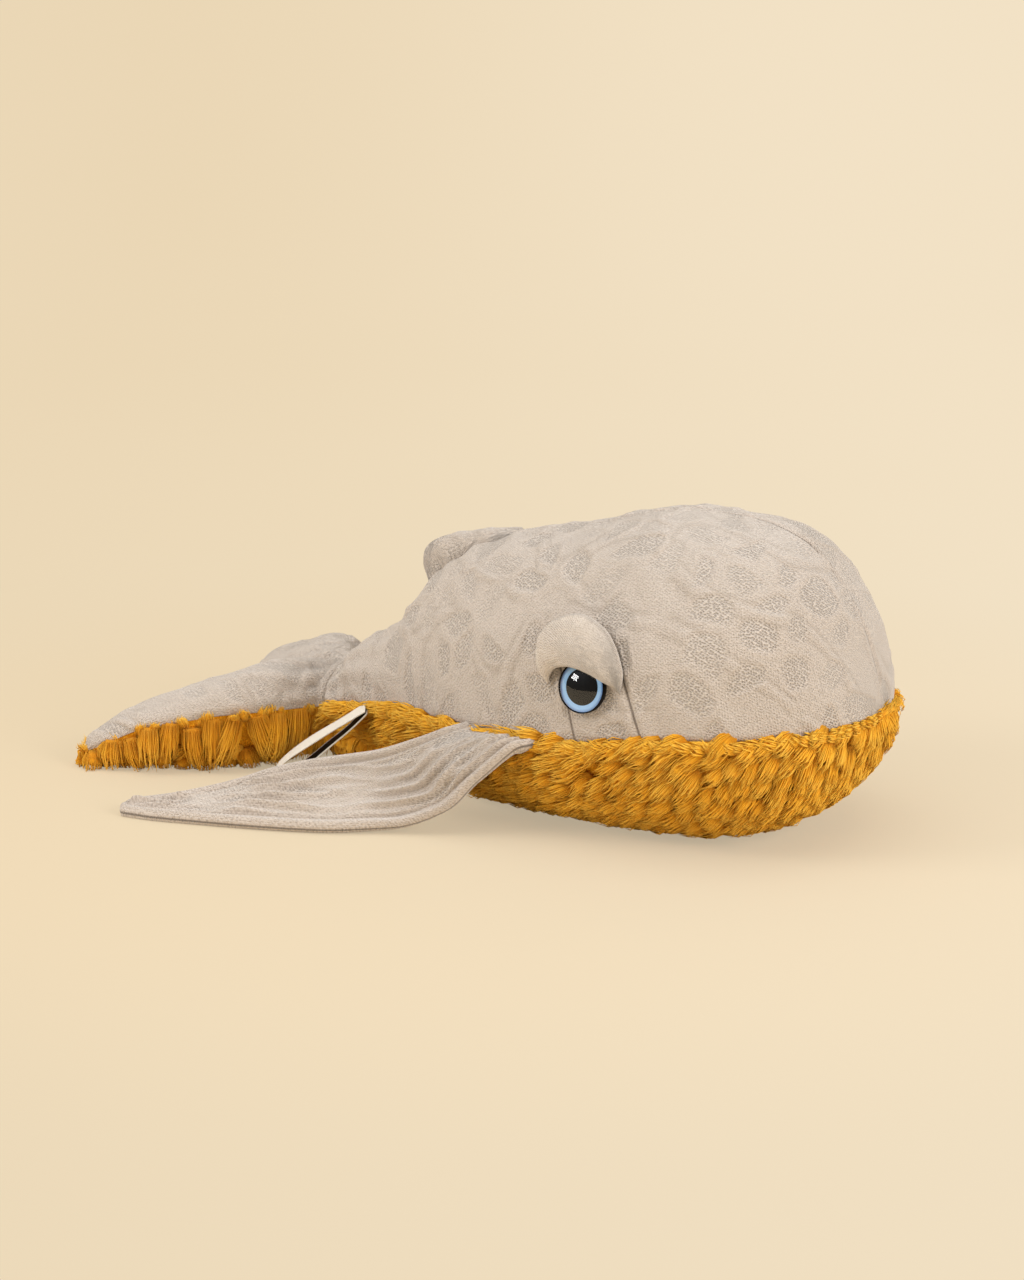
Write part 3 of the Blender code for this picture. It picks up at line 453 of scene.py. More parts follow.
back_shares = evenly(body_form, 0.7, 330)
back_angles = np.linspace(0, RIDGE, 148)
cheek_seams = [np.interp(back_angles, CHEEK_ANGLES, shares) for shares in (CHEEK_BACK, CHEEK_FRONT)]
for side, hand in SIDES:
    seed = 100 if side == "right" else 230
    share, angle = np.meshgrid(back_shares, back_angles)
    points = body_form(share, angle)
    _, _, out = facing(body_form, share, angle)
    along, up = run_along(points, 1), run_along(points, 0)
    pitch = np.interp(points[..., 0], CELL_X, CELL_PITCH)
    height, cell, crease_shade = quilted(in_cells(points), seed, pitch)
    at_tail = 1 - ease(-0.095, 0.01, points[..., 0])
    leaning = angle * 13 + along * 75 + 2.4 * ripple(points, seed + 3, 0.05)
    height = height * (0.62 + 0.38 * at_tail)
    height += at_tail * 0.0007 * np.sin(leaning) + 0.0007 * ripple(points, seed + 5, 0.055)
    height += 0.0003 * ripple(points, seed + 6, 0.016)
    behind, before = (
        along - np.array([[np.interp(place, back_shares, row)] for place, row in zip(places, along)])
        for places in cheek_seams
    )
    cheek = np.where(angle < CHEEK_ANGLES[-1], behind * before / (behind - before), NO_SEAM)
    from_ridge = np.abs(points[..., 1])
    seam = np.minimum(cheek, from_ridge + 0.0006)
    sewn_in = bell(np.minimum(cheek, from_ridge), 0, SEAM_REACH)
    edge = 1 - ease(0.0, 0.0030, up)
    height += 0.0006 * bell(np.abs(seam), 0.0030, 0.0018)
    relief = 1 - np.maximum(sewn_in, edge)
    off_tail = ease(TAIL_SEAM, -0.090, points[..., 0])
    height = (height * relief - SEAM_RELIEF * sewn_in) * off_tail - 0.0010 * edge
    points = points + out * height[..., None]
    points[:, 0] -= 0.0008 * out[:, 0] + (0.0025, 0, 0)
    points[..., 2] = np.maximum(points[..., 2], 0.0004)
    marks = {"cell": cell * relief, "seam": seam, "crease_shade": crease_shade * relief}
    lengths = np.stack((along, up), -1)
    if hand < 0:
        points = (points * (1, -1, 1))[::-1]
        marks = {name: values[::-1] for name, values in marks.items()}
        lengths = lengths[::-1]
    back = cloth(f"knit_back_{side}", points, marks, lengths)
    lined(back, KNIT_THICKNESS)
    dress(back, knit, (f"back_panel_{side}", f"cheek_panel_{side}"))

# The belly: one panel of mustard pile fabric from side seam to side seam. Its backing is a plain
# woven ground, and the pile is thick tufts of fine fibre, combed towards the tail in rows that
# overlap like tiles. At the seams the tips lie over the edge of the knit.
FUR_PAINTED_GLINT = (1.000, 0.640, 0.140)
FUR_TIP = (1.000, 0.600, 0.085)
FUR_MIDDLE = (1.000, 0.480, 0.025)
# Painted shade deep in the pile: at the roots, in the cores and on the ground seen between the tufts
FUR_ROOT_SHADE = (0.640, 0.225, 0.005)


def fur_looks(thread):
    """Brown at the roots as painted shade deep in the pile, gold at the tips, streaked along the
    fibres, with painted glints.
    """
    tip = thread.mark("tip")
    shade = thread.mark("shade")
    streak = thread.noise(thread.stretched(thread.lengths("fibre"), (2600.0, 95.0, 1.0)), 1.0, 3.0, 0.6)
    fine = thread.noise(thread.stretched(thread.lengths("fibre"), (6500.0, 160.0, 1.0)), 1.0, 2.0)
    colour = tip.step(0.0, 0.46).between(FUR_ROOT_SHADE, FUR_MIDDLE)
    colour = ((tip + shade * 0.5).step(0.45, 1.25)).between(colour, FUR_TIP)
    colour = ((1 - streak.step(0.32, 0.58)) * 0.16).between(colour, FUR_ROOT_SHADE)
    # Painted glints of light along the fibres
    colour = (fine.step(0.55, 0.80) * 0.30).between(colour, FUR_PAINTED_GLINT)
    return {"Base Color": colour, "Normal": thread.bump(streak * 0.7 + fine * 0.3, 0.0006, 0.8)}


FUR_CONSTANTS = {"Roughness": 0.75, "Specular IOR Level": 0.10}
FUR_SHEEN = {"Sheen Weight": 1.00, "Sheen Roughness": 0.60, "Sheen Tint": (1.0, 0.58, 0.09, 1.0)}
fur = finish("mustard_pile", fur_looks, FUR_CONSTANTS | FUR_SHEEN)


def ground_looks(thread):
    """The woven ground under the pile, seen only between the tufts, in the colours of the painted shade
    deep in the pile.
    """
    weave = thread.grains(thread.lengths(), 900.0)
    cloud = thread.cloud(160.0, 3.0)
    colour = (weave.step(0.2, 0.7) * 0.5 + cloud * 0.4).between(FUR_ROOT_SHADE, FUR_MIDDLE)
    return {"Base Color": colour, "Normal": thread.bump(weave + cloud, 0.0006)}


ground = finish("pile_ground", ground_looks, FUR_CONSTANTS)


def rod(sides, tip):
    """A capped rod with four stations: where each of its points lies, and its faces."""
    bm = bmesh.new()
    bmesh.ops.create_cone(bm, cap_ends=True, segments=sides, radius1=1, radius2=tip, depth=1)
    lengthwise = [edge for edge in bm.edges if abs(edge.verts[0].co.z - edge.verts[1].co.z) > 0.5]
    bmesh.ops.subdivide_edges(bm, edges=lengthwise, cuts=2)
    bmesh.ops.triangulate(bm, faces=bm.faces)
    places = np.array([(vert.co.z + 0.5, math.atan2(vert.co.y, vert.co.x)) for vert in bm.verts])
    faces = np.array([[vert.index for vert in face.verts] for face in bm.faces])
    bm.free()
    return np.round(places[:, 0] * 3).astype(int), places[:, 1], faces


STRAND_STATION, STRAND_TURN, STRAND_FACES = rod(3, 0.0)
CORE_STATION, CORE_TURN, CORE_FACES = rod(8, 1.0)
STATIONS = np.array((0, 1 / 3, 2 / 3, 1))
# How a tuft spreads and rises, station by station
COMBED = np.array(((0.50, 1.0, 1.0, 0.70), (0.05, 0.62, 1.0, 0.72)))
HUNG = np.array(((0.80, 1.0, 1.0, 0.75), (0.60, 1.0, 0.95, 0.60)))
# How much of its tuft a core fills: its length, its width and height, and its end
CORE_LENGTH = 0.72
CORE_FILL = 0.78
CORE_END = 0.22
STRAND_THICKNESS = 0.62
STRAY_SHARE = 0.08
FLOOR_GAP = 0.0002


def pile(name, form_tree, roots, ways, sizes, seed, strands=32, hug=1.0, shape=COMBED):
    """Brush-like tufts, each a soft core under fine pointed strands that follow the form below."""
    rng = np.random.default_rng(seed)
    tufts = len(roots)
    long, wide, tall = (np.broadcast_to(size, tufts) for size in sizes)
    root_outs = np.array([form_tree.find_nearest(Vector(root))[1][:] for root in roots])
    forward = unit(ways)
    across = unit(np.cross(forward, root_outs))
    long = long * rng.uniform(0.85, 1.12, tufts)
    broad = wide * rng.uniform(0.85, 1.2, tufts) / 2
    thick = tall * rng.uniform(0.75, 1.2, tufts)
    bow = rng.uniform(-0.14, 0.14, tufts)
    hue = rng.uniform(0, 1, tufts)

    def lines(which, length, aside, above, bent):
        """The middle lines of strands or cores, station by station, and the ways out there."""
        spread = broad[which, None] * aside[:, None] * shape[0]
        spread = spread + bent[:, None] * length[:, None] * STATIONS**2
        straight = roots[which, None] + forward[which, None] * (length[:, None] * STATIONS)[..., None]
        straight = straight + across[which, None] * spread[..., None]
        near = [form_tree.find_nearest(Vector(point))[:2] for point in straight.reshape(-1, 3)]
        outs = np.array([found[1][:] for found in near]).reshape(straight.shape)
        found = np.array([found[0][:] for found in near]).reshape(straight.shape)
        lift = thick[which, None] * above[:, None] * shape[1] + 0.0010 * STATIONS - 0.0006
        return found * hug + straight * (1 - hug) + outs * lift[..., None], outs

    def rods(middles, outs, side_reach, up_reach, station, turn):
        """Rods round their middle lines."""
        along = unit(np.gradient(middles, axis=1))
        sideways = unit(np.cross(outs, along))
        raised = np.cross(along, sideways)
        points = middles[:, station] + (side_reach * np.cos(turn))[..., None] * sideways[:, station]
        return points + (up_reach * np.sin(turn))[..., None] * raised[:, station]

    every = np.arange(tufts)
    low = np.zeros(tufts)
    middles, outs = lines(every, CORE_LENGTH * long, low, low, bow)
    up = np.where(np.sin(CORE_TURN) > 0, CORE_FILL * shape[1][CORE_STATION], 0.15) * thick[:, None]
    end = np.where(CORE_STATION == 3, CORE_END, 1.0)
    side = CORE_FILL * broad[:, None] * shape[0][CORE_STATION]
    cores = rods(middles, outs, side * end, up * end, CORE_STATION, CORE_TURN)

    count = tufts * strands
    which = np.repeat(every, strands)
    place = np.tile(np.arange(strands), tufts)
    swing = (place + 0.5) / strands * math.pi + rng.uniform(-0.10, 0.10, count)
    stray = rng.uniform(size=count) < STRAY_SHARE
    filled = np.where(place % 5 == 3, 0.80, 1.0) * rng.uniform(0.86, 1.06, count) + 0.2 * stray
    aside, above = -np.cos(swing) * filled, np.sin(swing) * filled
    length = long[which] * rng.uniform(0.76, 1.08, count) * (1 - 0.14 * aside**2) * (1 + 0.08 * stray)
    middles, outs = lines(which, length, aside, above, bow[which] + rng.uniform(-0.12, 0.12, count))
    reach = STRAND_THICKNESS * math.pi * broad[which] / strands * rng.uniform(0.8, 1.3, count)
    reach = reach[:, None] * np.array((0.9, 1.0, 0.85, 0.0))[STRAND_STATION]
    fibres = rods(middles, outs, reach, reach, STRAND_STATION, STRAND_TURN + math.pi / 2)

    places = np.concatenate((cores.reshape(-1, 3), fibres.reshape(-1, 3)))
    places[:, 2] = np.maximum(places[:, 2], FLOOR_GAP)
    core_size, strand_size = len(CORE_TURN), len(STRAND_TURN)
    core_starts = every * core_size
    strand_starts = np.arange(count) * strand_size + tufts * core_size
    core_faces = (CORE_FACES[None] + core_starts[:, None, None]).reshape(-1, 3)
    strand_faces = (STRAND_FACES[None] + strand_starts[:, None, None]).reshape(-1, 3)
    faces = np.concatenate((core_faces, strand_faces))
    mesh = bpy.data.meshes.new(name)
    mesh.from_pydata(places, [], faces)
    shade = 0.65 * hue[which] + 0.35 * rng.uniform(0, 1, count)
    # The cores take the darker colours towards the root, as painted shade inside the tufts
    tips = (np.tile(0.55 * STATIONS[CORE_STATION], tufts), np.tile(STATIONS[STRAND_STATION], count))
    shades = (np.repeat(0.5 * hue, core_size), np.repeat(shade, strand_size))
    write_marks(mesh, {"tip": np.concatenate(tips), "shade": np.concatenate(shades)})
    core_flat = np.stack((broad[:, None] * CORE_TURN, STATIONS[CORE_STATION] * long[:, None]), -1)
    core_flat = core_flat + rng.uniform(0, 1, (tufts, 1, 2))
    flat = np.stack((reach * np.cos(STRAND_TURN) * 1.6, STATIONS[STRAND_STATION] * length[:, None]), -1)
    flat = flat + rng.uniform(0, 1, (count, 1, 2))
    write_map(mesh, "fibre", np.concatenate((core_flat.reshape(-1, 2), flat.reshape(-1, 2))))
    return placed(name, mesh)


def as_tree(points):
    """The form as a surface on which the nearest place can be found."""
    probe = cloth("probe", points, joined=1e-6)
    bm = bmesh.new()
    bm.from_mesh(probe.data)
    tree = BVHTree.FromBMesh(bm)
    bm.free()
    bpy.data.meshes.remove(probe.data)
    return tree


def below_seam(angle, hand):
    """An angle below the right seam, or the one as far below the left seam."""
    return angle if hand > 0 else -math.pi - angle


GROUND_THICKNESS = 0.0008
TUFT_SPACING = 0.0074
# Tufts by their length, width and height
BELLY_TUFT = (0.0182, 0.0086)
EDGE_TUFT = (0.0105, 0.0062, 0.0036)
EDGE_TUFTS = 72
WAIST_TUFT = (0.0092, 0.0050)
FORE_STARTS = 0.055

belly_shares = evenly(body_form, -0.6, 200)
share, angle = np.meshgrid(belly_shares, np.linspace(-math.pi, 0, 150))
skin = body_form(share, angle)
_, _, out = facing(body_form, share, angle)
below = np.abs(np.sin(angle)) ** 0.7
thin_ends = ease(-0.097, -0.06, skin[..., 0])
points = skin - out * (0.0010 + 0.0038 * below * thin_ends)[..., None]
points[..., 2] = np.maximum(points[..., 2], 0.0012)
belly = cloth("fur_belly_ground", points)
lined(belly, GROUND_THICKNESS)
dress(belly, ground, ("belly_panel", "body_stuffing"))

body_shares = evenly(body_form, 0.7, 150)
body_tree = as_tree(body_form(*np.meshgrid(body_shares, np.linspace(-math.pi, math.pi, 220))))
grid_share, grid_angle = np.meshgrid(belly_shares, np.linspace(-RIDGE, 0.0, 100))
for side, hand in SIDES:
    turn = below_seam(grid_angle, hand)
    skin = body_form(grid_share, turn).reshape(-1, 3)
    chosen = scatter(skin, TUFT_SPACING, 41 if hand > 0 else 57)
    roots = skin[chosen]
    share, turn = grid_share.reshape(-1)[chosen], turn.reshape(-1)[chosen]
    forward, round_it, _ = facing(body_form, share, turn)
    down = -hand * unit(round_it)
    depth = np.abs(np.sin(turn))
    at_head = ease(0.03, 0.19, roots[:, 0])
    fall = (0.25 + 0.80 * at_head) * (1 - 0.75 * depth**3)
    rng = np.random.default_rng(71 if hand > 0 else 72)
    fall = fall + rng.uniform(-0.22, 0.22, len(fall)) - 0.25 * (1 - ease(0.0, 0.12, depth))
    ways = unit(-unit(forward) + down * fall[:, None])
    roots = roots - ways * 0.005
    tall = 0.0048 - 0.0020 * depth**2
    pieces = []
    for part, here in (("fore", roots[:, 0] > FORE_STARTS), ("aft", roots[:, 0] <= FORE_STARTS)):
        sizes = (*BELLY_TUFT, tall[here])
        name = f"fur_belly_pile_{part}_{side}"
        pieces.append(pile(name, body_tree, roots[here], ways[here], sizes, 300 + hand))
    edge_shares = evenly(body_form, 0.0, EDGE_TUFTS, 0.02, 0.99)
    edge_turn = below_seam(np.full(EDGE_TUFTS, -0.05), hand)
    forward, round_it, _ = facing(body_form, edge_shares, edge_turn)
    rise = rng.uniform(0.10, 0.75, EDGE_TUFTS)
    ways = unit(-unit(forward) + hand * unit(round_it) * rise[:, None])
    edge = body_form(edge_shares, edge_turn) - ways * 0.003
    pieces.append(pile(f"fur_belly_edge_{side}", body_tree, edge, ways, EDGE_TUFT, 310 + hand, 18))
    waist_share, waist_turn = np.meshgrid(np.linspace(0.0, 0.17, 8), (-0.45, -0.95, -1.4))
    roots = body_form(waist_share, below_seam(waist_turn, hand)).reshape(-1, 3)
    lean = (rng.uniform(-0.5, 0.1, len(roots)), rng.uniform(-0.2, 0.2, len(roots)))
    ways = unit(np.stack((*lean, -np.ones(len(roots))), -1))
    sizes = (roots[:, 2] + 0.002, *WAIST_TUFT)
    pieces.append(pile(f"fur_belly_waist_{side}", body_tree, roots, ways, sizes, 330 + hand, 30, 0.4))
    for tufts in pieces:
        dress(tufts, fur)

# The dorsal fin: a small stuffed hook of the same knit, its tip pointing back, sewn over the
# ridge seam by hand through its turned-in edge.
DORSAL_SHARES = (
    (0.000, 0.000, 0.735, 0.735),
    (0.030, 0.400, 0.765, 0.705),
    (0.110, 0.650, 0.792, 0.650),
    (0.250, 0.900, 0.815, 0.000),
    (0.450, 1.000, 0.834, 0.000),
    (0.700, 0.800, 0.851, 0.000),
    (0.900, 0.450, 0.862, 0.000),
    (1.000, 0.000, 0.000, 0.000),
)
DORSAL_LENGTH = 0.2053 * BODY_LENGTH
DORSAL_START = 0.1606 * BODY_LENGTH
DORSAL_HALF_WIDTH = 0.011
dorsal_sizes = (DORSAL_LENGTH, DORSAL_HALF_WIDTH, BODY_HEIGHT, BODY_HEIGHT)
dorsal_curve = Curve(np.array(DORSAL_SHARES) * dorsal_sizes)
fine_shares = np.linspace(0, 1, 2000)
fine_along = body_curve.at(fine_shares)[0]


def body_top(x, y):
    """The height of the back near the ridge."""
    _, width, seam, top, _ = body_curve.at(np.interp(x - TAIL_SEAM, fine_along, fine_shares))
    cosine = np.minimum(np.abs(y) / width, 1) ** (1 / 0.92)
    return seam + (top - seam) * np.sqrt(1 - cosine**2) ** 0.92


dorsal_share = np.linspace(0, 1, 70)
along, half_width, top, under = dorsal_curve.at(dorsal_share)
x = TAIL_SEAM + DORSAL_START + along
turns = np.linspace(0, math.pi, 41)
y = half_width[None] * np.cos(turns)[:, None]
x_all = np.broadcast_to(x, y.shape)
seat = np.maximum(body_top(x_all, y) - 0.0012, under[None])
crown = np.maximum(top - seat.max(0), 0.0015 * np.sin(math.pi * dorsal_share))
points = np.stack((x_all, y, seat + crown * np.sin(turns)[:, None] ** 0.9), -1)
height, cell, crease_shade = quilted(in_cells(points), 640, 0.017, 0.0022)
inward = unit(points - np.stack((x_all, np.zeros_like(y), seat), -1) + (0, 0, 1e-6))
rim = np.minimum(ease(0, 0.12, dorsal_share)[None], np.sin(turns)[:, None])
points = points + inward * (height * 0.7 * rim)[..., None]
closed = np.concatenate((points, points[:1]), 0)[::-1]
marks = {name: np.concatenate((m, m[:1]))[::-1] for name, m in (("cell", cell), ("crease_shade", crease_shade))}
dorsal = cloth("dorsal_fin", closed, marks | {"seam": NO_SEAM})
dress(dorsal, knit, ("dorsal_fin_cover", "dorsal_fin_stuffing"), "body")

# The eyes: domed clear lenses, each over a blue painted ring and a black pupil, pressed into a
# black backing whose stem goes through the cheek to a lock washer inside.
EYE_ANGLE = math.radians(14.5)
EYE_SHARE = 0.52196
eye_place = body_form(EYE_SHARE, EYE_ANGLE)
eye_out = facing(body_form, np.array(EYE_SHARE), np.array(EYE_ANGLE))[2]
eye_up = unit(np.array((0, 0, 1)) - eye_out * eye_out[2])
eye_forward = np.cross(eye_up, eye_out)
PAINT_HEIGHT = 0.0022
LENS_HEIGHT = 0.0030
DOME_TOP = 0.0083
DOME_RADIUS = 0.0174
DOME_CENTRE = DOME_TOP - DOME_RADIUS
LENS_RADIUS = 0.0120
DOME_ANGLE = math.asin(LENS_RADIUS / DOME_RADIUS)
EYE_RADIUS = 0.0124


def eye_turning(name, outline, hand, steps=56):
    """An outline of radii and heights, spun about the eye's own axis."""
    bm = bmesh.new()
    verts = [bm.verts.new((radius, 0, height)) for radius, height in outline]
    for low, high in zip(verts, verts[1:]):
        bm.edges.new((low, high))
    spun = bm.verts[:] + bm.edges[:]
    bmesh.ops.spin(bm, geom=spun, axis=(0, 0, 1), angle=2 * math.pi, steps=steps, use_merge=True)
    bmesh.ops.remove_doubles(bm, verts=bm.verts, dist=1e-6)
    bmesh.ops.recalc_face_normals(bm, faces=bm.faces)
    mesh = bpy.data.meshes.new(name)
    bm.to_mesh(mesh)
    bm.free()
    flat = np.empty(len(mesh.vertices) * 3, np.float32)
    mesh.vertices.foreach_get("co", flat)
    flat = flat.reshape(-1, 3)
    ring = np.hypot(flat[:, 0], flat[:, 1])
    write_marks(mesh, {"ring": ring / EYE_RADIUS, "low": -flat[:, 1] / EYE_RADIUS})
    places = eye_place + flat[:, :1] * eye_forward + flat[:, 1:2] * eye_up + flat[:, 2:] * eye_out
    places = places * (1, hand, 1)
    mesh.vertices.foreach_set("co", places.reshape(-1).astype(np.float32))
    if hand < 0:
        mesh.flip_normals()
    piece = placed(name, mesh)
    mesh.set_sharp_from_angle(angle=math.radians(40))
    return piece


def iris_looks(thread):
    """Blue paint, pale at the pupil and deeper at the rim, with faint rays; painted light makes it
    paler towards the bottom.
    """
    ring, low = thread.mark("ring"), thread.mark("low")
    rays = thread.cloud(900.0)
    colour = ring.step(0.82, 0.95).between((0.36, 0.60, 0.86), (0.07, 0.17, 0.42))
    # Painted light gathering in the lower part of the ring, under the dome
    colour = (low.step(0.1, 0.9) * 0.45).between(colour, (0.50, 0.74, 1.0))
    colour = (rays.step(0.45, 0.7) * 0.15).between(colour, (0.20, 0.42, 0.75))
    return {"Base Color": colour}


def black_looks(thread):
    """Black plastic, satin from its mould."""
    cloud = thread.cloud(300.0)
    colour = cloud.between((0.003, 0.0026, 0.0026), (0.006, 0.005, 0.0045))
    return {"Base Color": colour, "Roughness": cloud * 0.1 + 0.40}


iris_paint = finish("iris_paint", iris_looks, {"Roughness": 0.30})
black_plastic = finish("black_plastic", black_looks, {"Specular IOR Level": 0.12})
clear = bpy.data.materials.new("clear_plastic")
clear.use_nodes = True
clear_tree = clear.node_tree
clear_tree.nodes.remove(clear_tree.nodes["Principled BSDF"])
start = Thread(clear_tree)
see_through = start.node("BsdfTransparent", {}, {"Color": (0.97, 0.98, 1.0, 1)})
gloss = start.node("BsdfGlossy", {}, {"Color": (1, 1, 1, 1), "Roughness": 0.0})
shine = start.node("Fresnel", {}, {"IOR": 1.60}) * (1 - start.node("NewGeometry", output=6))
mixed = start.node("MixShader", {}, {0: shine, 1: see_through, 2: gloss})
clear_tree.links.new(mixed.socket, clear_tree.nodes["Material Output"].inputs["Surface"])

lens_outline = [(0, LENS_HEIGHT), (0.0119, LENS_HEIGHT)]
for turn in np.linspace(DOME_ANGLE, 0, 14):
    lens_outline.append((DOME_RADIUS * math.sin(turn), DOME_CENTRE + DOME_RADIUS * math.cos(turn)))
lens_outline[-1] = (0, lens_outline[-1][1])
iris_outline, pupil_outline = (
    [(radius, PAINT_HEIGHT + rise) for radius, rise in outline]
    for outline in (
        ((0.0084, 0), (0.0118, 0), (0.0118, 0.0005), (0.0084, 0.0003), (0.0084, 0)),
        ((0, 0), (0.0087, 0), (0.0087, 0.0004), (0.0083, 0.0006), (0, 0.0006)),
    )
)
backing_outline = [
    (0, -0.0140),
    (0.0020, -0.0140),
    (0.0025, -0.0135),
    (0.0025, 0.0003),
    (0.0122, 0.0003),
    (EYE_RADIUS, 0.0006),
    (EYE_RADIUS, 0.0034),
    (0.0122, 0.0038),
    (0.0120, 0.0034),
    (0.0119, 0.0015),
    (0, 0.0015),
]
eye_parts = (
    ("lens", lens_outline, clear, "lens"),
    ("iris", iris_outline, iris_paint, "iris"),
    ("pupil", pupil_outline, black_plastic, "black_plastic"),
    ("backing", backing_outline, black_plastic, "black_plastic"),
)
for side, hand in SIDES:
    for part, outline, material, slot in eye_parts:
        piece = eye_turning(f"{part}_{side}", outline, hand)
        dress(piece, material, (f"eye_{side}_{part}",), body="body")


def washer_looks(thread):
    """Natural nylon, faintly mottled."""
    mottle = thread.cloud(400.0)
    colour = mottle.between((0.74, 0.73, 0.70), (0.82, 0.81, 0.78))
    return {"Base Color": colour, "Roughness": mottle * 0.2 + 0.35}


nylon = finish("white_nylon", washer_looks, {})
for side in ("right", "left"):
    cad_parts[f"eye_{side}_washer"].data.materials.clear()
    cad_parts[f"eye_{side}_washer"].data.materials.append(nylon)

# The eyelids: puffy half hoods of plain jersey over a soft pad, sewn down round the top of each
# eye and rolled under along the lip that hangs over it.
LID_SHARES = (
    (-0.96, -0.10, -0.96, -0.10, 0.00),
    (-0.84, 0.18, -1.22, 0.32, 0.55),
    (-0.62, 0.34, -1.26, 0.88, 0.85),
    (-0.32, 0.40, -0.90, 1.42, 0.98),
    (0.00, 0.38, -0.25, 1.64, 1.00),
    (0.32, 0.31, 0.42, 1.42, 0.98),
    (0.62, 0.21, 0.86, 0.95, 0.85),
    (0.84, 0.12, 1.06, 0.42, 0.55),
    (0.97, -0.04, 0.97, -0.04, 0.00),
)
LID_HALF_WIDTH = 0.0205
LID_THICKNESS = 0.0115
LID_CLEARANCE = 0.0010


def on_side(forward, up, height):
    """From the eye's centre along and up the side, then straight out of the fabric."""
    wanted = eye_place + forward[..., None] * eye_forward + up[..., None] * eye_up
    share, angle = np.full(forward.shape, EYE_SHARE), np.full(forward.shape, EYE_ANGLE)
    for _ in range(8):
        ahead, over, out = facing(body_form, share, angle, 1e-3)
        miss = wanted - body_form(share, angle)
        a, b, c = (ahead * ahead).sum(-1), (ahead * over).sum(-1), (over * over).sum(-1)
        d, e = (ahead * miss).sum(-1), (over * miss).sum(-1)
        share = share + (c * d - b * e) / (a * c - b * b)
        angle = angle + (a * e - b * d) / (a * c - b * b)
    return body_form(share, angle) + out * height[..., None]


def over_eye(forward, up):
    """The lowest that the hood may hang over a place, to clear the lens."""
    radius = np.hypot(forward, up)
    dome = DOME_CENTRE + np.sqrt(DOME_RADIUS**2 - np.minimum(radius, LENS_RADIUS) ** 2)
    return np.where(radius > 0.0144, LID_CLEARANCE, np.maximum(dome, 0.0038) + LID_CLEARANCE)


JERSEY = (0.680, 0.595, 0.515)
JERSEY_DARK = (0.420, 0.330, 0.250)


def jersey_looks(thread):
    """Fine upright stitches in columns, with painted shade in the gaps between stitches and a soft
    mottle.
    """
    lengths = thread.lengths()
    wave = {"Vector": lengths, "Scale": 260.0, "Distortion": 1.5, "Detail": 2.0, "Detail Scale": 2.0}
    columns = thread.node("TexWave", {"wave_type": "BANDS", "bands_direction": "X"}, wave)
    stitches = thread.grains(lengths, 850.0, 0.4)
    mottle = thread.cloud(150.0, 3.0, 0.6)
    # Painted shade between the stitches, mixed with a random mottle
    shade = stitches.step(0.25, 0.75) * 0.55 + mottle.step(0.45, 0.75) * 0.15
    colour = shade.between(JERSEY, JERSEY_DARK)
    colour = (thread.mark("seam") * 0.7).between(colour, SEAM_DARK)
    height = columns * 0.5 - stitches * 0.9 + mottle * 0.4
    return {"Base Color": colour, "Normal": thread.bump(height, 0.0006, 0.9)}


jersey = finish("plain_jersey", jersey_looks, CLOTH_GLOSS | CLOTH_SHEEN)
lid_curve = Curve(LID_SHARES)
lid_share, lid_turn = np.meshgrid(np.linspace(0, 1, 90), np.linspace(0, 2 * math.pi, 61))
low_x, low_y, high_x, high_y, thick = lid_curve.at(lid_share)
across = (1 - np.cos(lid_turn)) / 2
lid_x = (low_x + (high_x - low_x) * across) * LID_HALF_WIDTH
lid_y = (low_y + (high_y - low_y) * across) * LID_HALF_WIDTH
height = LID_CLEARANCE + thick * LID_THICKNESS / 2 * (1 + np.sin(lid_turn))
lid_points = on_side(lid_x, lid_y, np.maximum(height, over_eye(lid_x, lid_y)))
lid_points[-1] = lid_points[0]
sewn = bell(across, 0.97, 0.035) * (np.sin(lid_turn) > 0)
lip = bell(across, 0.10, 0.05) * (np.sin(lid_turn) > 0) * np.sin(math.pi * lid_share) ** 0.5
for side, hand in SIDES:
    puff = 0.00035 * ripple(lid_points, 810 + hand, 0.011) - 0.0005 * lip
    _, _, out = facing(body_form, np.full(puff.shape, EYE_SHARE), np.full(puff.shape, EYE_ANGLE))
    points = (lid_points + out * (puff * np.sin(math.pi * lid_share))[..., None]) * (1, hand, 1)
    lengths = np.stack((run_along(points, 1), run_along(points, 0)), -1)
    order = slice(None, None, -1 if hand > 0 else 1)
    lid = cloth(f"eyelid_{side}", points[order], {"seam": 0.5 * sewn[order]}, lengths[order])
    dress(lid, jersey, (f"eyelid_{side}_cover", f"eyelid_{side}_pad"), "body")

# The tail: two swept lobes in one pod, knit above and pile below, joined by a seam round the
# edge, with a little filling in each lobe. The pile hangs down from the seam to the floor.
FLUKE_SHARES = (
    (0.075, 0.400, 0.000, 0.130, 0.580, 0.905, 0.860, 0.160, 0.190),
    (0.165, 0.550, 0.000, 0.245, 0.585, 0.935, 0.780, 0.070, 0.250),
    (0.260, 0.655, 0.000, 0.320, 0.575, 0.930, 0.690, 0.015, 0.370),
    (0.345, 0.725, 0.000, 0.385, 0.560, 0.885, 0.560, 0.000, 0.560),
    (0.465, 0.803, 0.090, 0.463, 0.514, 0.778, 0.514, 0.000, 0.514),
    (0.585, 0.870, 0.203, 0.553, 0.460, 0.700, 0.460, 0.000, 0.460),
    (0.705, 0.927, 0.328, 0.655, 0.396, 0.612, 0.396, 0.000, 0.396),
    (0.815, 0.972, 0.475, 0.745, 0.295, 0.512, 0.295, 0.000, 0.295),
    (0.907, 1.000, 0.644, 0.836, 0.205, 0.388, 0.205, 0.010, 0.205),
    (0.972, 1.000, 0.802, 0.910, 0.150, 0.262, 0.150, 0.040, 0.150),
    (1.000, 0.950, 0.950, 0.950, 0.130, 0.130, 0.130, 0.130, 0.130),
)
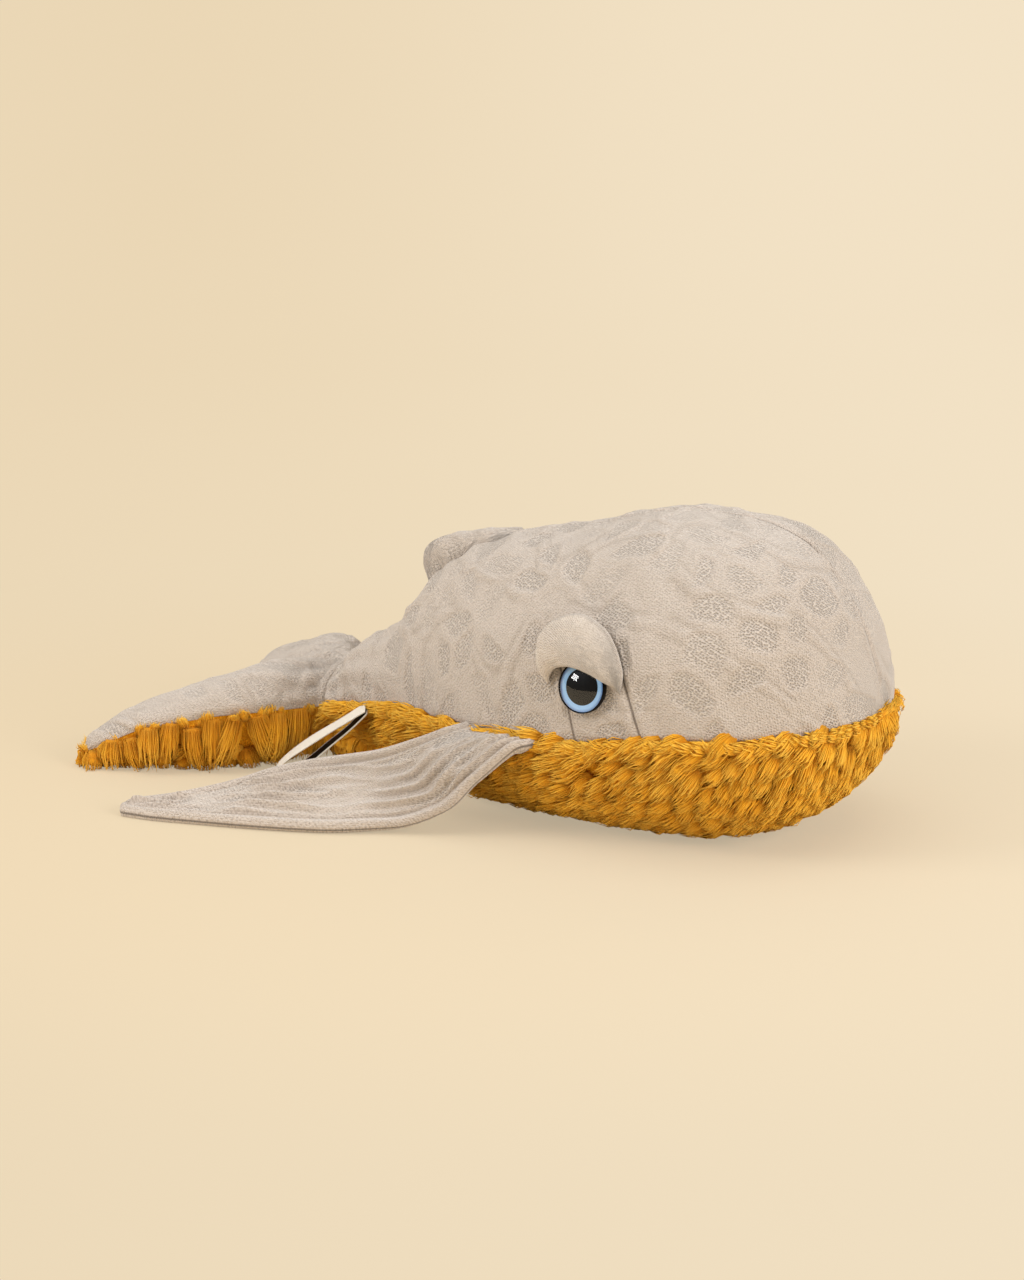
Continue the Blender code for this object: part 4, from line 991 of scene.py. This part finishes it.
TAIL_LENGTH = 0.108
FLUKE_HALF_SPAN = 0.0885
FLUKE_HEIGHT = 0.0555
NOTCH_SHARE = 4 / 11
fluke_sizes = (TAIL_LENGTH, *[FLUKE_HALF_SPAN] * 3, *[FLUKE_HEIGHT] * 5)
FLUKE_START = (0.0, 0.026, 0.0, 0.0, 0.032, 0.0505, 0.0505, 0.013, 0.013)
fluke_curve = Curve(np.vstack((FLUKE_START, np.array(FLUKE_SHARES) * fluke_sizes)))
fluke_curve.slopes[0, 1:] = 0


def fluke_form(share, angle):
    """Half a pod. Angle 0 is the outer seam, a half turn the inner one, negative is below."""
    share, angle = np.broadcast_arrays(np.asarray(share, float), np.asarray(angle, float))
    along, outer, inner, crest_line, seam, crest, valley, bottom, bottom_valley = fluke_curve.at(share)
    roundness = 0.92 + 0.08 * ease(0.0, 0.12, share)
    swing, rise = squared(np.cos(angle), roundness), np.abs(np.sin(angle)) ** roundness
    y = crest_line + swing * np.where(swing > 0, outer - crest_line, crest_line - inner)
    above = angle >= 0
    peak, dip = np.where(above, crest, bottom), np.where(above, valley, bottom_valley)
    base = np.where((swing > 0) | (share > NOTCH_SHARE), seam, dip)
    return np.stack((TAIL_SEAM - along, y, np.maximum(base + (peak - base) * rise, 0)), -1)


def outward(points, centre):
    """The way out of a grid, taken from its own neighbours."""
    ahead = np.gradient(points, axis=1)
    over = np.gradient(points, axis=0)
    out = unit(np.cross(ahead, over))
    away = (out * (points - centre)).sum(-1, keepdims=True).sum() < 0
    return -out if away else out


FLUKE_TUFT = (0.0160, 0.0090, 0.0034)
FLUKE_EDGE_TUFT = (0.0125, 0.0050, 0.0026)
# Each tier's angle below the seam, first share, length as a share of the way down, width and height
FRINGE_TIERS = ((0.10, 0.010, 0.98, 0.0116, 0.0096), (0.80, 0.020, 0.45, 0.0100, 0.0060))

fluke_shares = evenly(fluke_form, 0.9, 140)
fluke_turns = np.linspace(0, math.pi, 90)
for side, hand in (("right", -1), ("left", 1)):
    share, angle = np.meshgrid(fluke_shares, fluke_turns)
    top = fluke_form(share, angle) * (1, hand, 1)
    middle = np.stack((top[..., 0].mean(0), top[..., 1].mean(0), top[..., 2].min(0)), -1)
    out = outward(top, middle)
    places = np.stack((top[..., 0] / 0.026, top[..., 1] / 0.012, top[..., 2] / 0.016), -1)
    height, cell, crease_shade = quilted(places, 400 + hand, 0.015, 0.0022)
    past_seam = ease(0.0, 0.05, share)
    soft = ease(0.0, 0.25, np.minimum(angle, math.pi - angle)) * (1 - ease(0.93, 1.0, share))
    soft = soft * past_seam
    near_notch = np.where(share < NOTCH_SHARE, past_seam, soft)
    soft = np.where(angle > RIDGE, near_notch, soft)
    long_folds = np.sin(angle * 9 + 2.0 * ripple(top, 33 + hand, 0.05))
    gather = 1 - ease(0.0, 0.35, share)
    ridges = bell(ripple(places * (0.5, 1.0, 1.0), 83 + hand, 2.6), 0, 0.2)
    lumps = ripple(top, 71 + hand, 0.035)
    height = (height * 0.6 + 0.0007 * ridges + 0.0006 * lumps + 0.0007 * gather * long_folds) * soft
    height = height - 0.0008 * (1 - soft) * past_seam
    points = top + out * height[..., None]
    points[:, 0] -= 0.0008 * out[:, 0] - (0.0025, 0, 0)
    centre_seam = np.where(share < NOTCH_SHARE, points[..., 1] * hand, NO_SEAM)
    points[..., 2] -= 0.0008 * bell(centre_seam, 0, 0.0014)
    marks = {"cell": cell * 0.6 * soft, "seam": centre_seam, "crease_shade": crease_shade * soft}
    order = slice(None, None, -hand)
    marks = {name: values[order] for name, values in marks.items()}
    fluke = cloth(f"fluke_knit_{side}", points[order], marks)
    lined(fluke, KNIT_THICKNESS)
    dress(fluke, knit, ("fluke_cover",), "tail")

    under = fluke_form(share, -angle) * (1, hand, 1)
    out_under = outward(under, middle)
    sunk = 0.0008 + 0.0022 * np.sin(angle) * (1 - ease(0.9, 1.0, share))
    points = under - out_under * sunk[..., None]
    points[..., 2] = np.maximum(points[..., 2], 0.0010)
    fluke_ground = cloth(f"fluke_ground_{side}", points[::hand])
    lined(fluke_ground, GROUND_THICKNESS)
    dress(fluke_ground, ground, ("fluke_underside", "fluke_stuffing"), "tail")

    fluke_tree = as_tree(under[::-hand])
    flat = under.reshape(-1, 3)
    below = flat[out_under.reshape(-1, 3)[:, 2] < -0.55]
    roots = below[scatter(below, 0.0080, 90 + hand)]
    sway = np.random.default_rng(93 + hand).normal(0, 0.2, roots.shape) * (1, 1, 0)
    ways = unit(np.array((-1.0, 0.15 * hand, 0.0)) + sway)
    roots = roots - ways * 0.005
    pieces = [pile(f"fluke_pile_{side}", fluke_tree, roots, ways, FLUKE_TUFT, 500 + hand, 18)]

    rng = np.random.default_rng(97 + hand)
    for tier, (turn, start, reach, wide, thick) in enumerate(FRINGE_TIERS):
        outer = evenly(fluke_form, 0.0, 13, start, 0.985 - 0.02 * tier)
        inner = evenly(fluke_form, math.pi, 9, NOTCH_SHARE + start, 0.96)
        roots = np.vstack((fluke_form(outer, -turn), fluke_form(inner, turn - math.pi))) * (1, hand, 1)
        roots[:, 2] += rng.uniform(-0.0020, 0.0035, len(roots))
        sway = rng.uniform(-0.28, 0.28, (len(roots), 2))
        ways = unit(np.concatenate((sway, np.full((len(roots), 1), -1.0)), 1))
        seams = np.concatenate((fluke_form(outer, 0.0), fluke_form(inner, math.pi)))[:, 2]
        # Thin near the body, where the ribbon hangs beside the tail
        thin = 1 - 0.60 * (1 - ease(0.05, 0.45, np.concatenate((outer, inner))))
        sizes = (seams * reach + 0.003, wide, thick * thin)
        name = f"fluke_fringe_{('upper', 'lower')[tier]}_{side}"
        pieces.append(pile(name, fluke_tree, roots, ways, sizes, 520 + hand + 5 * tier, 44, 0.55, HUNG))

    outer = evenly(fluke_form, 0.0, 22, 0.02, 0.985)
    inner = evenly(fluke_form, math.pi, 15, NOTCH_SHARE + 0.03, 0.96)
    roots = np.vstack((fluke_form(outer, -0.06), fluke_form(inner, 0.06 - math.pi))) * (1, hand, 1)
    roots = roots - (0, 0, 0.0030)
    sway = rng.uniform(-0.7, 0.7, (len(roots), 2))
    ways = unit(np.concatenate((sway - (0.25, 0), np.full((len(roots), 1), 1.0)), 1))
    name = f"fluke_edge_{side}"
    pieces.append(pile(name, fluke_tree, roots, ways, FLUKE_EDGE_TUFT, 540 + hand, 22, 0.35))
    for tufts in pieces:
        dress(tufts, fur, body="tail")

# The pectoral fins: flat knitted blades, two layers sewn edge to edge and turned, with a thin
# filling, a row of topstitching inside the rim, and a straight root caught in the side seam.
FIN_SHARES = (
    (0.000, 0.5535, 1.000, 0.244, 0.4825, 0.980),
    (0.059, 0.589, 0.784, 0.293, 0.521, 0.902),
    (0.137, 0.616, 0.470, 0.361, 0.556, 0.804),
    (0.215, 0.640, 0.196, 0.434, 0.578, 0.696),
    (0.341, 0.710, 0.055, 0.517, 0.594, 0.608),
    (0.488, 0.823, 0.047, 0.605, 0.612, 0.510),
    (0.644, 0.901, 0.047, 0.693, 0.650, 0.392),
    (0.780, 0.952, 0.047, 0.776, 0.724, 0.255),
    (0.907, 0.993, 0.047, 0.888, 0.820, 0.127),
    (0.972, 1.000, 0.047, 0.968, 0.882, 0.070),
    (0.996, 0.974, 0.049, 0.996, 0.920, 0.060),
)
FIN_SWEEP = 0.205
FIN_REACH = 0.147
FIN_ROOT_HEIGHT = 0.051
fin_curve = Curve(np.array(FIN_SHARES) * ((FIN_SWEEP, FIN_REACH, FIN_ROOT_HEIGHT) * 2))
fin_front_x = TAIL_SEAM + 0.5364 * BODY_LENGTH


def fin_form(share, across):
    """The right fin's middle surface, from its front edge to its back one."""
    share, across = np.broadcast_arrays(np.asarray(share, float), np.asarray(across, float))
    a, b, c, d, e, f = fin_curve.at(share)
    front = np.stack((fin_front_x - a, -b, c), -1)
    back = np.stack((fin_front_x - d, -e, f), -1)
    return front + (back - front) * across[..., None]


FIN_ROOT_LIFT = (0.0, 0.0065, 0.0068, 0.0040, 0.0010, *[0.0] * 6)
fin_lift = Curve(np.array(FIN_ROOT_LIFT)[:, None])


def folded_fin(share, across):
    """The fin as it lies: it leaves the seam level at its front corner, and then folds down."""
    share, across = np.broadcast_arrays(share, across)
    lift = fin_lift.at(share)[0]
    tucked = (1 - ease(0.0, 0.05, share))[..., None] * np.array((0, 0.004, 0.0))
    raised = (lift * (1 - across) ** 1.5)[..., None] * np.array((0, 0, 1.0))
    return fin_form(share, across) + raised + tucked


FIN_SPAN = 0.22
TIP_ROUND = 0.006
RIM_ROUND = 0.0022
PLEAT_COUNT = 6.4
PLEAT_HEIGHT = 0.0036

fin_shares = evenly(fin_form, 0.5, 190)
fin_turns = np.linspace(0, 2 * math.pi, 201)
for side, hand in SIDES:
    seed = 900 + hand
    share, turn = np.meshgrid(fin_shares, fin_turns)
    to_tip = (1 - share) * FIN_SPAN
    from_tip = np.clip(to_tip / TIP_ROUND, 0, 1)
    across = 0.5 - np.cos(turn) / 2 * (0.35 + 0.65 * np.sqrt(1 - (1 - from_tip) ** 2))
    place = folded_fin(share, across)
    ahead, over, _ = facing(folded_fin, share, np.clip(across, 0.01, 0.99))
    out = unit(np.cross(ahead, over))
    puff = 0.0015 * np.sin(math.pi * across) * np.sin(math.pi * share)
    front_edge, back_edge = folded_fin(share, 0 * across), folded_fin(share, 0 * across + 1)
    breadth = np.linalg.norm(back_edge - front_edge, axis=-1)
    rim = np.minimum((1 - np.abs(np.cos(turn))) / 2 * breadth, to_tip)
    upper = np.sin(turn) > 0
    away = np.where(upper, 1, -1)
    rounding = np.sqrt(1 - (1 - np.clip(rim / RIM_ROUND, 0, 1)) ** 2)
    depth = np.where(upper, 0.0036, -0.0026) * rounding * (0.35 + 0.65 * ease(0.0, 0.08, share))
    run = run_along(folded_fin(share, 0 * across + 0.5), 1)
    places = np.stack((run / 0.034, across * breadth / 0.0130, 0.8 * upper), -1)
    height, cell, crease_shade = quilted(places, seed, 0.0150, 0.0018)
    rolled = bell(rim, 0.0030, 0.0017)
    stitched = bell(rim, 0.0062, 0.0009)
    within = ease(0.0066, 0.0092, rim)
    wander = across * PLEAT_COUNT + 0.55 * ripple(place, seed + 2, 0.060)
    from_pleat = np.abs(wander - np.round(wander))
    strong = ease(0.10, 0.60, 0.5 + 0.5 * ripple(place, seed + 4, 0.09))
    pleats = bell(from_pleat, 0, 0.21) * strong
    beside = bell(from_pleat, 0.34, 0.06) * strong
    # Painted shade in the hollows beside the pleats, in the knit's creases and along the topstitching
    crease_shade = 0.8 * np.maximum(np.maximum(crease_shade, beside) * within, 0.7 * stitched)
    lumps = ripple(place, seed, 0.03)
    height = within * (0.9 * height + PLEAT_HEIGHT * pleats + 0.0005 * lumps)
    height = height + 0.0011 * (rolled - stitched)
    height = height * ease(0.0, 0.014, to_tip)
    points = place + out * (depth + puff + away * height * rounding)[..., None]
    points[..., 2] = np.maximum(points[..., 2], 0.0003)
    points = points * (1, hand, 1)
    edge_seam = np.where(rim < RIM_ROUND, np.abs(depth), NO_SEAM)
    marks = {"cell": cell * within * (1 - 0.8 * pleats), "seam": edge_seam, "crease_shade": crease_shade}
    lengths = np.stack((run, across * breadth + 0.3 * upper), -1)
    points[-1] = points[0]
    marks = {name: values[::-hand] for name, values in marks.items()}
    fin = cloth(f"pectoral_fin_{side}", points[::-hand], marks, lengths[::-hand])
    stands_for = (f"pectoral_fin_{side}_top", f"pectoral_fin_{side}_under")
    dress(fin, knit, stands_for, f"fin_{side}")

# The ribbon: one woven strip, cream outside and black with white edges inside, folded into a
# flattened loop and caught in the right side seam. It is left bare.
RIBBON_WIDTH = 0.010
RIBBON_THICKNESS = 0.0006
RIBBON_BULGE = 0.0047
# The line across the strip at its fold, below, and where it is sewn in, above
ACROSS_SEWN = np.array((0.44, -0.87, -0.21))
ACROSS_FOLD = np.array((0.50, -0.84, -0.14))
ribbon_place = body_form(0.135, 0.0) + np.array((0.0011, -0.0044, 0))
ribbon_down = np.array((-0.0435, -0.0185, -0.0365))
ribbon_length = np.linalg.norm(ribbon_down)
ribbon_down = ribbon_down / ribbon_length
turn = np.linspace(-math.pi, math.pi, 120)
down = (1 + np.cos(turn)) / 2
twist = ease(0.0, 0.45, down)[:, None]
ribbon_across = unit(ACROSS_FOLD * (1 - twist) + ACROSS_SEWN * twist)
ribbon_across = unit(ribbon_across - ribbon_down * (ribbon_across @ ribbon_down)[:, None])
ribbon_out = np.cross(ribbon_across, ribbon_down)
apart = np.sin(turn) * (0.25 + down) * RIBBON_BULGE
apart = apart + np.where(turn < 0, -1, 1) * RIBBON_THICKNESS * (1 - down)
path = ribbon_place + ribbon_down * (ribbon_length * down)[:, None] + ribbon_out * apart[:, None]
strip = np.linspace(-0.5, 0.5, 9)
points = path[None] + ribbon_across[None] * (strip * RIBBON_WIDTH)[:, None, None]
points = points + ribbon_out[None] * (0.0004 * ripple(points, 15, 0.03))[..., None]
points[..., 2] = np.maximum(points[..., 2], 0.0006)


def ribbon_looks(dark):
    """A fine ribbed weave, with its woven edges."""

    def looks(thread):
        wave = {"Vector": thread.lengths(), "Scale": 620.0, "Distortion": 0.6}
        ribs = thread.node("TexWave", {"bands_direction": "X"}, wave)
        edge = thread.mark("edge").step(0.72, 0.80)
        soil = thread.cloud(260.0)
        cream = soil.between((0.82, 0.755, 0.65), (0.88, 0.82, 0.72))
        colour = edge.between((0.012, 0.011, 0.012), cream) if dark else cream
        return {"Base Color": colour, "Normal": thread.bump(ribs, 0.00012)}

    return looks


cream = finish("ribbon_cream", ribbon_looks(False), {"Roughness": 0.6, "Sheen Weight": 0.1})
black = finish("ribbon_black", ribbon_looks(True), {"Roughness": 0.7, "Specular IOR Level": 0.2})
ribbon = cloth("ribbon_strip", points, {"edge": np.abs(strip[:, None]) * 2})
lined(ribbon, RIBBON_THICKNESS)
ribbon.modifiers["thickness"].offset = 0
ribbon.modifiers["thickness"].material_offset = 1
ribbon.data.materials.append(cream)
ribbon.data.materials.append(black)
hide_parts("ribbon_loop")
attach(ribbon, "ribbon")

# The studio: a pale cream sweep of paper, floor and wall in one. A big soft light stands to the
# right of the head, a weaker one to the left of the camera, and a wide one hangs overhead.
PAPER_LEFT_SHADED = (0.820, 0.670, 0.455)
PAPER_RIGHT_LIT = (0.895, 0.765, 0.570)
PAPER_SHADE = 0.19
# Where the paper glows with its own colour, to the camera and in reflections: half of it near the
# whale, all of it far off; the farthest paper glows for every ray and lights the whale as painted
# light.
NEAR_GLOW = 0.52
GLOW_RISES = (0.22, 0.52)
WALL_GLOWS = (0.8, 1.6)

paper = bpy.data.materials.new("backdrop_paper")
paper.use_nodes = True
tree = paper.node_tree
sheet_thread = Thread(tree)
shader = tree.nodes["Principled BSDF"]
shader.inputs["Roughness"].default_value = 0.95
shader.inputs["Specular IOR Level"].default_value = 0.0
place = sheet_thread.object_place()
cloud = sheet_thread.noise(place, 1.4, 2.0)
to_right = {0: place, 1: (0.866, 0.5, 0)}
across = sheet_thread.node("VectorMath", {"operation": "DOT_PRODUCT"}, to_right, 1)
# The paper is painted lighter towards the right, where the key light stands: painted light and shade
# across the sweep
tone = (across.step(-0.45, 0.45) * 0.8 + cloud * 0.2).between(PAPER_LEFT_SHADED, PAPER_RIGHT_LIT)
shaded = sheet_thread.node("Mix", {"data_type": "RGBA"}, {0: PAPER_SHADE, 6: tone, 7: (0, 0, 0, 1)}, 2)
tree.links.new(shaded.socket, shader.inputs["Base Color"])
seen, glossy, through = (sheet_thread.node("LightPath", output=ray) for ray in (0, 3, 6))
seen = seen + glossy + through
distance = sheet_thread.node("VectorMath", {"operation": "LENGTH"}, {0: place}, 1)
glow = sheet_thread.node("Emission", {}, {"Color": tone, "Strength": 1.0})
far = seen.maths("MINIMUM", seen, 1.0) * (distance.step(*GLOW_RISES) * (1 - NEAR_GLOW) + NEAR_GLOW)
far = far.maths("MAXIMUM", far, distance.step(*WALL_GLOWS))
lit = sheet_thread.node("MixShader", {}, {0: far, 1: Thread(tree, shader.outputs[0]), 2: glow})
tree.links.new(lit.socket, tree.nodes["Material Output"].inputs["Surface"])
profile = [(-3.0, 0.0), (-0.6, 0.0), (0.0, 0.0), (0.6, 0.0)]
profile += [(1.6 + 0.9 * math.sin(t), 0.9 - 0.9 * math.cos(t)) for t in np.linspace(0, RIDGE, 24)]
profile += [(2.5, 4.0)]
away = Vector((-view_line.x, -view_line.y)).normalized()
sweep = np.array([
    [(away.x * d - away.y * s, away.y * d + away.x * s, z) for d, z in profile]
    for s in np.linspace(-4, 4, 9)
])
backdrop = cloth("backdrop", sweep[::-1])
backdrop.data.materials.append(paper)


LIGHTS_AIM = Vector((0, 0, 0.06))


def soft_light(name, place, size, power, colour):
    data = bpy.data.lights.new(name, "AREA")
    data.shape = "RECTANGLE"
    data.size, data.size_y = size
    data.energy = power
    data.color = colour
    lamp = bpy.data.objects.new(name, data)
    lamp.location = place
    lamp.rotation_euler = (Vector(place) - LIGHTS_AIM).to_track_quat("Z", "Y").to_euler()
    bpy.context.scene.collection.objects.link(lamp)


soft_light("window", (-1.18, -1.20, 0.95), (0.80, 0.50), 17.0, (1.0, 0.99, 0.975))
soft_light("key", (2.15, -0.35, 0.95), (1.20, 1.10), 35.0, (1.0, 0.985, 0.96))
soft_light("ceiling", (0.10, -0.35, 2.20), (2.40, 2.20), 23.0, (1.0, 0.985, 0.96))
# The room's own light, and how much less of it shines in glossy surfaces
ROOM_LIGHT = 0.43
ROOM_LESS_GLOSS = 0.38
world = bpy.data.worlds.new("surround")
bpy.context.scene.world = world
world.use_nodes = True
surround = world.node_tree.nodes["Background"]
surround.inputs["Color"].default_value = (1.0, 0.97, 0.92, 1)
room = ROOM_LIGHT - Thread(world.node_tree).node("LightPath", output=3) * ROOM_LESS_GLOSS
world.node_tree.links.new(room.socket, surround.inputs["Strength"])
bpy.context.scene.view_settings.view_transform = "Standard"
